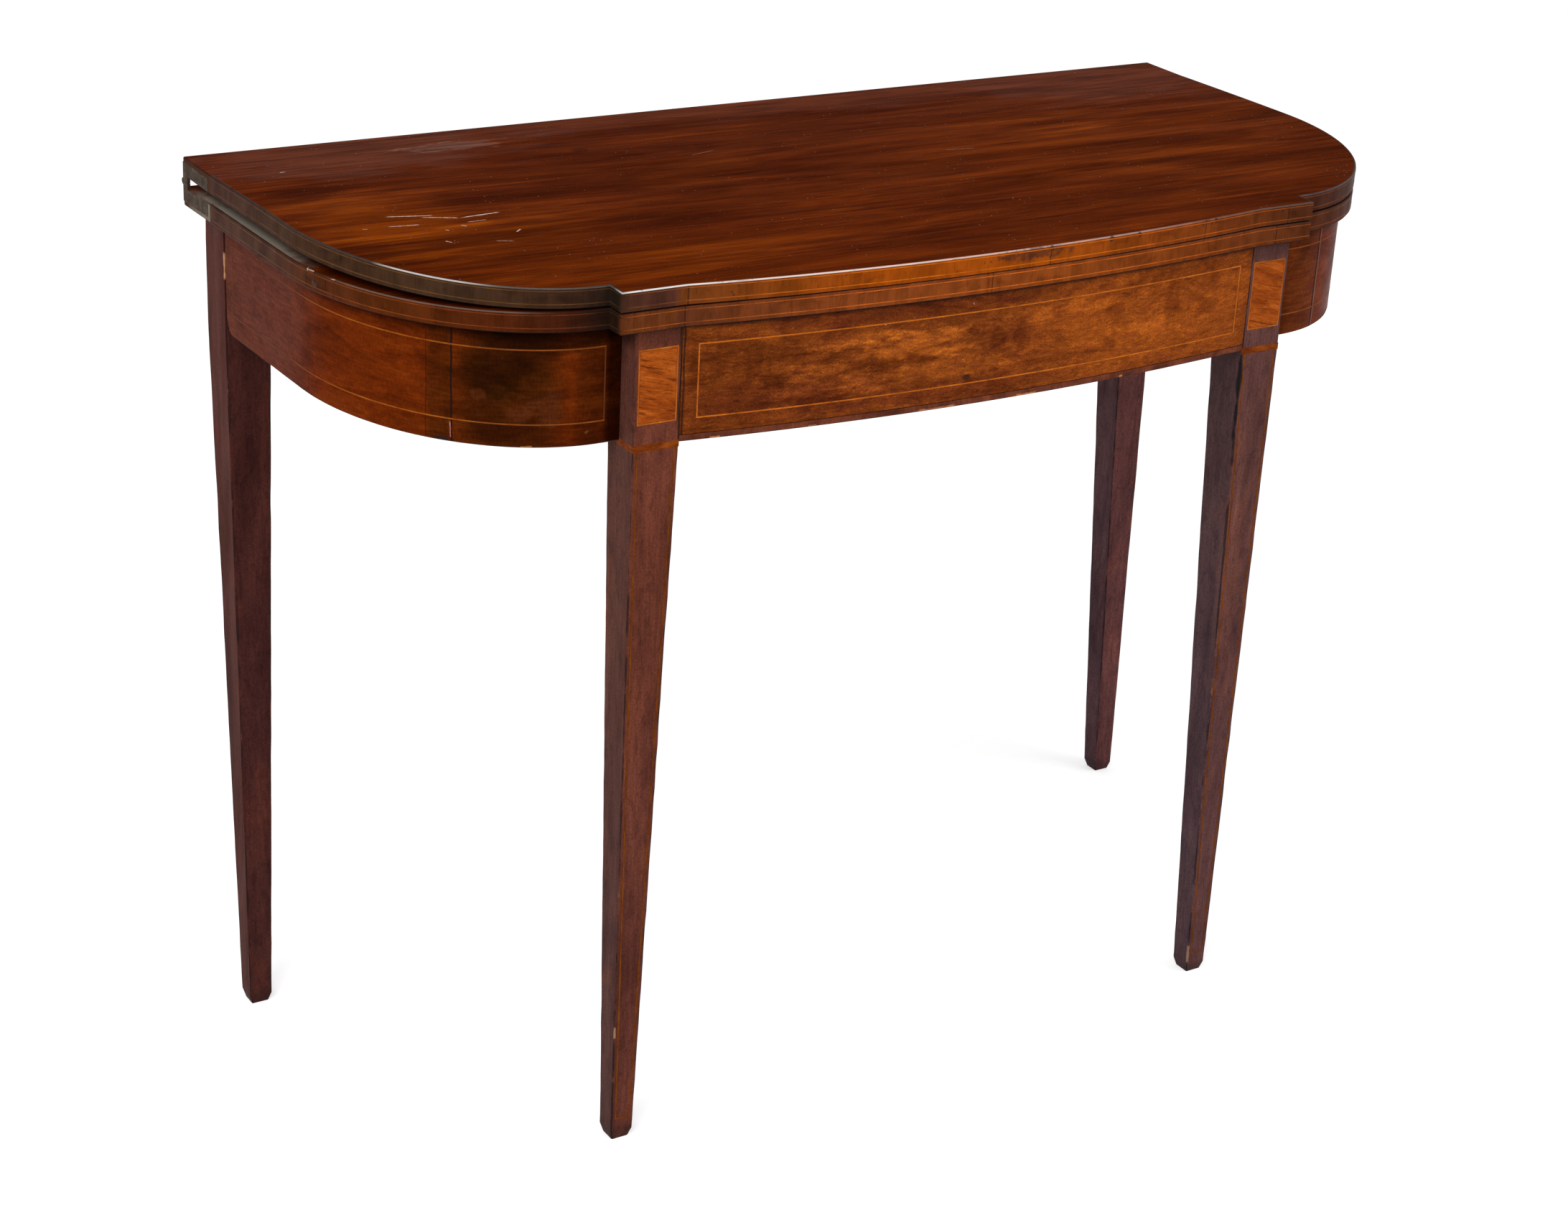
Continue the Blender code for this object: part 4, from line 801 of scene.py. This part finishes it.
def legMahogany():
    finish = startFinish("leg_mahogany")
    addGrain(finish, legWood)
    # each leg gets its own tint, painted light and shade: darker on the swinging leg, lighter on the left
    # front leg, and lighter and bluer, a painted sheen, on the right legs
    for centre, colour in (((-0.466, 0.19), "swinging"), ((0.45, 0.19), "rightRear"),
                           ((-0.3, -0.19), "leftFront"), ((0.3, -0.19), "rightFront")):
        addArea(finish, centre, (0.09, 0.09), legWood[colour], 1, "MULTIPLY", 0)
    addArea(finish, (0.15,), (0.3,), (0.84, 0.92, 1.1), 0.6, "MULTIPLY", 0.4, 6, (2,))
    # painted shade and sheen by facing: the side faces darker and bluer than the front and back, and warmer
    # on the swinging leg
    paint(finish, facingShare(finish, "X", 0, 0.9), (0.7, 0.94, 1.16), "MULTIPLY")
    onSides = facingShare(finish, "X", 0, 0.9)
    addArea(finish, (-0.466, 0.19), (0.09, 0.09), (1.7, 0.78, 0.38), onSides, "MULTIPLY", 0)
    # painted shade on the tops of the front legs, under the leaf
    addArea(finish, (-0.2, 0.702), (0.09, 0.015), (0.64, 0.64, 0.64), 0.95, "MULTIPLY", 0.2, axes=(1, 2))
    addPatches(finish, (0.62, 0.6, 0.64), (16, 16, 8), 0.46, 0.66, 0.6, 1)
    addPatches(finish, (1.6, 1.4, 1.1), (26, 26, 12), 0.54, 0.72, 0.6, 0.6)
    addPatches(finish, (0.66, 0.64, 0.7), (130, 130, 60), 0.5, 0.64, 0.6, 0.6)
    addFibres(finish, (420, 420, 24), 0.88, 1.08)
    addFibres(finish, (600, 600, 500), 0.84, 1.14)
    addPores(finish, (1200, 1200, 90), 0.35)
    addSpecks(finish, legWood["dust"], 210, 0.08, 0.45)
    addArrisWearAndPaintedLight(finish, legWood["grime"], (70, 70, 16), 0.4, 0.52, 0.75)
    addArrisWearAndPaintedLight(finish, legWood["worn"], (90, 90, 24), 0.6, 0.7, 0.6)
    addArea(finish, (0,), (0.014,), legWood["grime"], 0.4, ragged=0.8, scale=60, axes=(2,))
    # rubbed and chipped places on the arrises of the front legs and the swinging one
    addScuffs(finish, legWood, (
        ((-0.3145, -0.2068, 0.098), (-0.3145, -0.2068, 0.11), 0.003, "pale", 0.6, 1),
        ((0.283, -0.207, 0.04), (0.28, -0.207, 0.11), 0.0042, "split", 0.8, 1),
        ((0.275, -0.2065, 0.52), (0.2755, -0.2065, 0.612), 0.007, "grime", 0.95, 0.9),
        ((0.295, -0.207, 0.01), (0.294, -0.207, 0.03), 0.004, "pale", 0.5, 1),
        ((-0.486, 0.1712, 0.655), (-0.486, 0.1712, 0.68), 0.004, "fresh", 0.9, 0.7)))
    return endFinish(finish, 0.025)


def plainWood(name, look, pores, specular):
    finish = startFinish(name)
    addGrain(finish, look)
    addPatches(finish, (0.55, 0.5, 0.48), 9, 0.48, 0.66, 0.6)
    addFibres(finish, pores, 0.8, 1.08)
    addPores(finish, tuple(number * 3 for number in pores), 0.35)
    return endFinish(finish, specular)


lineWood = {"dark": (0.35, 0.082, 0.008), "middle": (0.48, 0.118, 0.011), "light": (0.6, 0.17, 0.019),
            "grain": 55, "swirl": 0, "polish": (0.4, 0.55), "streaks": (0.85, 1.12),
            "brown": (0.11, 0.03, 0.012)}


def inlayLine(name, coordinates, strength, tones=None, length=1):
    # light stringing, browned by old polish; tones follow a run of wood, strength dims a line
    finish = startFinish(name, coordinates)
    if tones:
        lighter = [(place, min(red * (1.5 + 5 * place), red * 2.4, 0.54), green * min(1.5 + 5 * place, 2.2),
                    blue * 1.2 + 0.002) for place, red, green, blue in tones]
        addTones(finish, length, lighter, lineWood)
    else:
        addGrain(finish, lineWood)
    addPatches(finish, (0.5, 0.42, 0.4), 70, 0.5, 0.62, 0.45)
    addFibres(finish, 900, 0.85 * strength, 1.08 * strength)
    return finish


def edgeLine(name, look, length):
    return endFinish(inlayLine(name, "run", 1, look["tones"], length), 0.02)


def apronLine(name, dim):
    # the line on an end apron fades where the polish has darkened
    finish = inlayLine(name, "run", 0.62)
    for centre, half, strength in dim:
        addArea(finish, (centre,), (half,), lineWood["brown"], strength, ragged=0.2, axes=(0,))
    return endFinish(finish, 0.02)


panelWood = {"dark": (0.205, 0.036, 0.0032), "middle": (0.335, 0.065, 0.0062), "light": (0.47, 0.108, 0.012),
             "grain": (26, 90, 130), "swirl": 0.9, "polish": (0.34, 0.48), "lean": -14,
             "streak": (0.16, 0.12, 0.14), "pore": (0.2, 0.12, 0.1)}


def flamePanel(name, look, shade):
    finish = startFinish(name)
    turned = addNode(finish["tree"], "ShaderNodeMapping",
                     {"Vector": finish["place"], "Rotation": (0, math.radians(look["lean"]), 0)})
    finish["place"] = turned.outputs["Vector"]
    addGrain(finish, look)
    addPatches(finish, look["streak"], (34, 150, 420), 0.56, 0.68, 0.75)
    addFibres(finish, (90, 300, 800), 0.78 * shade, 1.08 * shade)
    addPores(finish, (220, 900, 1500), 0.5, look["pore"], 0.58)
    return endFinish(finish, 0.02)


def agedMetal(name, look, metallic, specular):
    finish = startFinish(name)
    addGrain(finish, look)
    addPatches(finish, look["spots"], 420, 0.5, 0.62, 0.7)
    addPatches(finish, look["film"], 90, 0.46, 0.66, 0.7, 0.4, "MIX")
    tarnish = noiseNode(finish["tree"], finish["place"], 700)
    finish["height"] = mathNode(finish["tree"], "MULTIPLY", tarnish, poreDepth)
    return endFinish(finish, specular, metallic)


hingeMetal = {"dark": (0.038, 0.024, 0.014), "middle": (0.058, 0.0375, 0.0225),
              "light": (0.085, 0.057, 0.035),
              "grain": 120, "swirl": 0.4, "polish": (0.5, 0.66), "spots": (0.35, 0.32, 0.3),
              "film": (0.048, 0.031, 0.021)}
screwIron = {"dark": (0.03, 0.025, 0.022), "middle": (0.052, 0.043, 0.037), "light": (0.09, 0.074, 0.062),
             "grain": 160, "swirl": 0.4, "polish": (0.5, 0.66), "spots": (0.35, 0.3, 0.26),
             "film": (0.08, 0.036, 0.02)}
deal = {"dark": (0.11, 0.062, 0.033), "middle": (0.2, 0.122, 0.065), "light": (0.29, 0.186, 0.104),
        "grain": (3, 42, 42), "swirl": 0.6, "polish": (0.7, 0.85)}
railWood = {"dark": (0.052, 0.018, 0.01), "middle": (0.085, 0.03, 0.016), "light": (0.125, 0.046, 0.024),
            "grain": (3, 60, 60), "swirl": 0.5, "polish": (0.5, 0.65)}

edgeLength = pathLengths(leafPath)[-1]
upperTopMaterial = upperTop()
lowerTopMaterial = lowerTop()
upperEdgeMaterial = upperEdge(edgeLength)
lowerEdgeMaterial = lowerEdge(edgeLength)
frontMaterial = frontVeneer()
leftMaterial = leftVeneer()
rightMaterial = rightVeneer()
lowerBandMaterial = lowerBanding()
legMaterial = legMahogany()
lineMaterial = endFinish(inlayLine("panel_stringing", "object", 0.85), 0.02)
legLineMaterial = endFinish(inlayLine("leg_stringing", "object", 0.34), 0.02)
frontLineMaterial = endFinish(inlayLine("front_stringing", "run", 1), 0.02)
leftLineMaterial = apronLine("left_end_stringing", ((0.03, 0.15, 0.95), (0.37, 0.07, 0.45)))
rightLineMaterial = apronLine("right_end_stringing", ((0.23, 0.26, 0.8),))
upperLineMaterial = edgeLine("upper_edge_stringing", upperEdgeLook, edgeLength)
# the lower edge's lines take its tones, the painted shade at the step included
lowerLineMaterial = edgeLine("lower_edge_stringing", lowerEdgeLook, edgeLength)
panelMaterial = flamePanel("bright_panel_veneer", panelWood, 1)
cuffMaterial = flamePanel("cuff_veneer", {**panelWood, "lean": 0}, 0.62)
dealMaterial = plainWood("aged_deal", deal, (9, 300, 300), 0.1)
railMaterial = plainWood("rail_mahogany", railWood, (9, 380, 380), 0.12)
hingeMaterial = agedMetal("bronzed_brass", hingeMetal, 0.1, 0.06)
ironMaterial = agedMetal("old_iron", screwIron, 0.35, 0.12)
print("card table: finishes mixed")


# The solids that stay get their finishes

keptFinishes = {
    "deal": dealMaterial,
    "mahogany": railMaterial,
    "dark_mahogany": legMaterial,
    "crossbanding": upperEdgeMaterial,
    "figured_veneer": frontMaterial,
    "flame_veneer": panelMaterial,
    "boxwood": lineMaterial,
    "bronzed_brass": hingeMaterial,
    "iron": ironMaterial,
}
for row in frame["record"]["subparts"]:
    solid = frame["nodes"][row["node"]]
    for place in solid.material_slots:
        place.material = keptFinishes[row["material_slot"]]
        if "cuff" in row["node"]:
            place.material = cuffMaterial
        if "leg" in row["node"] and "string" in row["node"] and "panel" not in row["node"]:
            place.material = legLineMaterial


# The leaves' edges: banding, and two lines joined at their ends

leafEdge = {"topRound": 0.001, "bottomRound": 0.0006, "depth": 0.0019, "inset": 0.0001,
            "lineTop": 0.002, "lineBottom": 0.0032, "lineEnd": 0.006, "lineWidth": 0.0008}


lineDepth = 0.0008
edgeWear = {"waves": 60.0, "waveSize": 0.00025, "knocks": 23.0, "knocksFrom": 0.35, "knockSize": 0.0012}


def edgeMove(spot, worn):
    # arrises knocked about by use
    if worn:
        knock = max(0.0, noise.noise(spot * edgeWear["knocks"]) - edgeWear["knocksFrom"])
        push = wander(spot, edgeWear["waves"], edgeWear["waveSize"]) + knock * edgeWear["knockSize"]
        direction = Vector((-spot.x, leafBack - spot.y, 0)).normalized()
        spot = spot + direction * max(push, 0.0)
    return spot


def edgeBand(leafName, body, bottom, material, carry):
    top = bottom + leafThickness

    def profileAt(travelled):
        return roundedProfile(bottom, top, leafEdge["depth"], leafEdge["topRound"], leafEdge["bottomRound"],
                              leafEdge["inset"])

    def move(spot, worn):
        return carry(edgeMove(spot, worn))

    mesh = sweepMesh(f"{leafName}_banding", leafPath, profileAt, move)
    return newPiece(f"{leafName}_banding", body, mesh, material, "crossbanding", f"{leafName}_edge_banding")


def ribbonMesh(name, path, low, high, carry):
    corners = [(0.0, low, 0.0), (0.0, high, 0.0), (lineDepth, high, 0.0), (lineDepth, low, 0.0)]
    return sweepMesh(name, path, lambda travelled: corners, lambda spot, worn: carry(spot))


def cutRun(path, start, end):
    # the part of a path between two distances along it
    lengths = pathLengths(path)
    found = []
    for before, after, first, second in zip(path, path[1:], lengths, lengths[1:]):
        if second <= start or first >= end:
            continue
        if not found:
            found.append(before.lerp(after, max(0.0, (start - first) / (second - first))))
        if second > end:
            found.append(before.lerp(after, (end - first) / (second - first)))
        else:
            found.append(after.copy())
    return found


def joinMeshes(name, meshes):
    work = bmesh.new()
    for mesh in meshes:
        work.from_mesh(mesh)
        bpy.data.meshes.remove(mesh)
    joined = bpy.data.meshes.new(name)
    work.to_mesh(joined)
    work.free()
    smoothBySharpEdges(joined)
    return joined


def lineFrame(name, body, path, low, high, endMargin, width, material, node, carry=lambda spot: spot):
    # two long lines and the short ones that close them
    total = pathLengths(path)[-1]
    start, end = endMargin, total - endMargin
    run = cutRun(path, start, end)
    parts = ((run, low, low + width), (run, high - width, high),
             (cutRun(path, start, start + width), low + width, high - width),
             (cutRun(path, end - width, end), low + width, high - width))
    meshes = [ribbonMesh("line", *part, carry) for part in parts]
    return newPiece(name, body, joinMeshes(name, meshes), material, "boxwood", node)


for leafName, body, bottom, band, line, carry in (
        ("lower_leaf", "frame", lowerBottom, lowerEdgeMaterial, lowerLineMaterial, lambda spot: spot),
        ("upper_leaf", "upper_leaf", upperBottom, upperEdgeMaterial, upperLineMaterial, onUpperLeaf)):
    edgeBand(leafName, body, bottom, band, carry)
    lineFrame(f"{leafName}_lines", body, leafPath, bottom + leafEdge["lineBottom"],
              bottom + leafThickness - leafEdge["lineTop"], leafEdge["lineEnd"], leafEdge["lineWidth"],
              line, f"{leafName}_edge_stringing", carry)
print("card table: leaf edges banded and strung")


# The leaves: boards with an eased back arris

leafBoard = {"backRound": 0.0012, "endInset": 0.0002, "acrossSteps": 44, "alongSteps": 22,
             "grooveDepth": 0.0019}


def boardMesh(name, bottom, carry):
    outward = offsetDirections(leafPath)
    inset = leafBoard["grooveDepth"]
    endX = leafHalf - leafBoard["endInset"]
    core = [spot - out * inset for spot, out in zip(leafPath, outward)]
    outline = [Vector((-endX, leafBack)), Vector((-endX, bandHigh.y)), *core,
               Vector((endX, bandHigh.y)), Vector((endX, leafBack))]
    work = bmesh.new()
    base = [work.verts.new((spot.x, spot.y, bottom)) for spot in outline]
    face = work.faces.new(base)
    lifted = bmesh.ops.extrude_face_region(work, geom=[face])
    risen = [item for item in lifted["geom"] if isinstance(item, bmesh.types.BMVert)]
    bmesh.ops.translate(work, verts=risen, vec=(0, 0, leafThickness))
    bmesh.ops.recalc_face_normals(work, faces=work.faces)
    arris = work.faces.layers.float.new("arris")
    backEdges = [edge for edge in work.edges
                 if all(abs(vert.co.y - leafBack) < 1e-6 for vert in edge.verts) or
                 (all(abs(abs(vert.co.x) - endX) < 1e-6 for vert in edge.verts) and
                  abs(edge.verts[0].co.z - edge.verts[1].co.z) < 1e-6)]
    rounded = bmesh.ops.bevel(work, geom=backEdges, offset=leafBoard["backRound"], segments=3, profile=0.5,
                              affect="EDGES", clamp_overlap=True)
    for rim in rounded["faces"]:
        rim[arris] = 1.0
    for axis, low, high, count in ((0, -leafHalf, leafHalf, leafBoard["acrossSteps"]),
                                   (1, frontY, leafBack, leafBoard["alongSteps"])):
        for step in range(1, count):
            normal = Vector((1 - axis, axis, 0))
            place = normal * (low + (high - low) * step / count)
            bmesh.ops.bisect_plane(work, geom=work.verts[:] + work.edges[:] + work.faces[:], dist=1e-6,
                                   plane_co=place, plane_no=normal)
    for vert in work.verts:
        vert.co = carry(vert.co)
    mesh = bpy.data.meshes.new(name)
    work.to_mesh(mesh)
    work.free()
    smoothBySharpEdges(mesh)
    return mesh


for leafName, body, bottom, material, carry in (
        ("lower_leaf", "frame", lowerBottom, lowerTopMaterial, lambda spot: spot.copy()),
        ("upper_leaf", "upper_leaf", upperBottom, upperTopMaterial, onUpperLeaf)):
    mesh = boardMesh(f"{leafName}_board", bottom, carry)
    newPiece(f"{leafName}_board", body, mesh, material, "mahogany", leafName)
print("card table: leaves laid")


# Aprons: veneer, lower band and lines

apronLook = {"depth": 0.0018, "inset": 0.0001, "bottomRound": 0.0008, "topRound": 0.0004, "lineTop": 0.015,
             "lineBottom": 0.0177, "lineEnd": 0.013, "lineWidth": 0.0011, "rearRound": 0.012}

apronLow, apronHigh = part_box("front_apron_veneer")
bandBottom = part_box("front_apron_lower_band")[0].z
frontRun = bowRun(apronHigh.x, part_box("front_left_leg")[0].y, leafPlan["spacing"])


def apronPiece(name, path, low, high, material, slotName, node, bottomAt=None):
    def profileAt(travelled):
        foot = bottomAt(travelled) if bottomAt else low
        return roundedProfile(foot, high, apronLook["depth"], apronLook["topRound"], apronLook["bottomRound"],
                              apronLook["inset"])

    mesh = sweepMesh(name, path, profileAt, edgeMove)
    return newPiece(name, "frame", mesh, material, slotName, node)


apronPiece("front_veneer", frontRun, apronLow.z, apronHigh.z, frontMaterial, "figured_veneer",
           "front_apron_veneer")
apronPiece("front_lower_banding", frontRun, bandBottom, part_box("front_apron_lower_band")[1].z,
           lowerBandMaterial, "dark_mahogany", "front_apron_lower_band")
lineHigh = apronHigh.z - apronLook["lineTop"]
lineLow = bandBottom + apronLook["lineBottom"]
lineFrame("front_lines", "frame", frontRun, lineLow, lineHigh, apronLook["lineEnd"], apronLook["lineWidth"],
          frontLineMaterial, "front_apron_stringing")
for side, word, material, line in ((-1, "left", leftMaterial, leftLineMaterial),
                                   (1, "right", rightMaterial, rightLineMaterial)):
    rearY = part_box(f"{word}_apron_veneer")[1].y
    run = sideRun(side, rearY)
    total = pathLengths(run)[-1]

    def footAt(travelled, isLeft=side < 0, total=total):
        # the free rear end of the left apron has its lower corner cut round
        away = travelled if isLeft else total
        radius = apronLook["rearRound"]
        if away >= radius:
            return bandBottom
        return bandBottom + radius - math.sqrt(max(radius ** 2 - (radius - away) ** 2, 0.0))

    apronPiece(f"{word}_veneer", run, bandBottom, apronHigh.z, material, "mahogany",
               f"{word}_apron_veneer", footAt)
    lineFrame(f"{word}_lines", "frame", run, lineLow, lineHigh, apronLook["lineEnd"], apronLook["lineWidth"],
              line, f"{word}_apron_stringing")
print("card table: aprons veneered")


# Legs: square, tapered on the inner faces, with arrises eased by wear

legLook = {"inset": 0.0001, "arris": 0.0013, "levels": 90, "footRound": 0.0022, "wobble": 0.00022,
           "wobbles": 38.0, "leastWear": 0.55, "moreWear": 1.5, "wearAcross": 9, "wearAlong": 21}


def squareAt(spots):
    # lowest and highest corner of some of a leg's points
    return (Vector([min(spot[axis] for spot in spots) for axis in range(3)]),
            Vector([max(spot[axis] for spot in spots) for axis in range(3)]))


def legMesh(name, node):
    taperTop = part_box("front_left_leg_cuff_band")[0].z - 0.0003
    spots = [vert.co for vert in frame["nodes"][node].data.vertices]
    low, high = squareAt([spot for spot in spots if spot.z > taperTop - 0.0002])
    footLow, footHigh = squareAt([spot for spot in spots if spot.z < 0.004])
    count = legLook["levels"]
    heights = [high.z * step / count for step in range(count + 1)]
    points, worn, arris, faces = [], [], [], []
    for level, height in enumerate(heights):
        share = min(max((taperTop - height) / taperTop, 0.0), 1.0)
        corners = []
        inset = legLook["inset"]
        footRound = legLook["footRound"]
        if height < footRound:
            inset += footRound * (1 - math.sqrt(max(1 - (1 - height / footRound) ** 2, 0.0)))
        x0 = low.x + (footLow.x - low.x) * share + inset
        x1 = high.x + (footHigh.x - high.x) * share - inset
        y0 = low.y + (footLow.y - low.y) * share + inset
        y1 = high.y + (footHigh.y - high.y) * share - inset
        for cx, cy, sx, sy, start in ((x0, y0, 1, 1, 180), (x1, y0, -1, 1, 270), (x1, y1, -1, -1, 0),
                                      (x0, y1, 1, -1, 90)):
            across = legLook["wearAcross"]
            wear = abs(noise.noise(Vector((cx * across, cy * across, height * legLook["wearAlong"]))))
            radius = legLook["arris"] * (legLook["leastWear"] + legLook["moreWear"] * wear)
            centre = Vector((cx + sx * radius, cy + sy * radius))
            for step in range(5):
                turn = math.radians(start + 22.5 * step)
                spot = Vector((centre.x + radius * math.cos(turn), centre.y + radius * math.sin(turn),
                               height))
                shift = wander(spot, legLook["wobbles"], legLook["wobble"], cx * 70)
                corners.append((spot.x + sx * abs(shift), spot.y + sy * abs(shift), height))
                worn.append(step < 4)
        size = len(corners)
        points += corners
        if level:
            start, last = level * size, (level - 1) * size
            faces += [(last + step, last + (step + 1) % size, start + (step + 1) % size, start + step)
                      for step in range(size)]
            arris += [float(isWorn) for isWorn in worn[:size]]
    faces += [tuple(range(size - 1, -1, -1)), tuple(range(len(points) - size, len(points)))]
    arris += [0.0, 0.0]
    mesh = bpy.data.meshes.new(name)
    mesh.from_pydata(points, [], faces)
    mesh.attributes.new("arris", "FLOAT", "FACE").data.foreach_set("value", arris)
    smoothBySharpEdges(mesh, 50.0)
    return mesh


for name, node, body in (
        ("left_front_leg", "front_left_leg", "frame"), ("right_front_leg", "front_right_leg", "frame"),
        ("right_rear_leg", "rear_right_leg", "frame"), ("swinging_leg", "rear_left_fly_leg", "fly_leg")):
    newPiece(name, body, legMesh(name, node), legMaterial, "dark_mahogany", node)
print("card table: legs shaped")


# Floor, light and camera

studio = {"floorSize": 30.0, "floorColour": (0.86, 0.86, 0.86), "glow": 0.45, "worldLight": 0.62}
camera = {"place": (-1.3545, -2.0357, 1.3921), "azimuth": 32.88, "elevation": 23.27, "roll": 3.12,
          "lens": 68.56, "sensor": 36.0}


def seenRays(tree):
    rays = addNode(tree, "ShaderNodeLightPath").outputs
    seen = mathNode(tree, "ADD", rays["Is Camera Ray"], rays["Is Glossy Ray"])
    return mathNode(tree, "MINIMUM", mathNode(tree, "ADD", seen, rays["Is Transmission Ray"]), 1.0)


def makeFloor():
    mesh = bpy.data.meshes.new("studio_floor")
    half = studio["floorSize"] / 2
    corners = [(x * half, y * half, 0) for x, y in ((-1, -1), (1, -1), (1, 1), (-1, 1))]
    mesh.from_pydata(corners, [], [(0, 1, 2, 3)])
    material = bpy.data.materials.new("pale_floor")
    material.use_nodes = True
    tree = material.node_tree
    shader = tree.nodes["Principled BSDF"]
    shader.inputs["Base Color"].default_value = (*studio["floorColour"], 1.0)
    shader.inputs["Roughness"].default_value = 0.9
    shader.inputs["Specular IOR Level"].default_value = 0.0
    shader.inputs["Emission Color"].default_value = (1.0, 1.0, 1.0, 1.0)
    glow = mathNode(tree, "MULTIPLY", seenRays(tree), studio["glow"])
    tree.links.new(glow, shader.inputs["Emission Strength"])
    mesh.materials.append(material)
    putInScene("studio_floor", mesh)


def makeWorld():
    world = bpy.data.worlds.new("white_studio")
    world.use_nodes = True
    tree = world.node_tree
    background = tree.nodes["Background"]
    background.inputs["Color"].default_value = (1.0, 1.0, 1.0, 1.0)
    light = studio["worldLight"]
    strength = mathNode(tree, "MULTIPLY_ADD", seenRays(tree), 1.0 - light, light)
    tree.links.new(strength, background.inputs["Strength"])
    bpy.context.scene.world = world


def addSoftLight(name, place, target, size, power):
    data = bpy.data.lights.new(name, "AREA")
    data.shape = "RECTANGLE"
    data.size, data.size_y = size
    data.energy = power
    lamp = putInScene(name, data)
    lamp.location = place
    lamp.rotation_euler = (Vector(target) - Vector(place)).to_track_quat("-Z", "Y").to_euler()


def makeCamera():
    data = bpy.data.cameras.new("photo_camera")
    data.sensor_width = camera["sensor"]
    data.lens = camera["lens"]
    data.clip_start, data.clip_end = 0.05, 60.0
    made = putInScene("photo_camera", data)
    turn = (Matrix.Rotation(math.radians(-camera["azimuth"]), 4, "Z")
            @ Matrix.Rotation(math.radians(90 - camera["elevation"]), 4, "X")
            @ Matrix.Rotation(math.radians(camera["roll"]), 4, "Z"))
    made.matrix_world = Matrix.Translation(camera["place"]) @ turn
    bpy.context.scene.camera = made


makeFloor()
makeWorld()
addSoftLight("key_light", (-2.2, -1.6, 2.6), (0, 0, 0.5), (1.8, 1.8), 55)
addSoftLight("fill_light", (2.4, -2.2, 1.9), (0, 0, 0.5), (2.0, 2.0), 30)
makeCamera()
bpy.context.scene.view_settings.view_transform = "Standard"
print("card table: studio set")
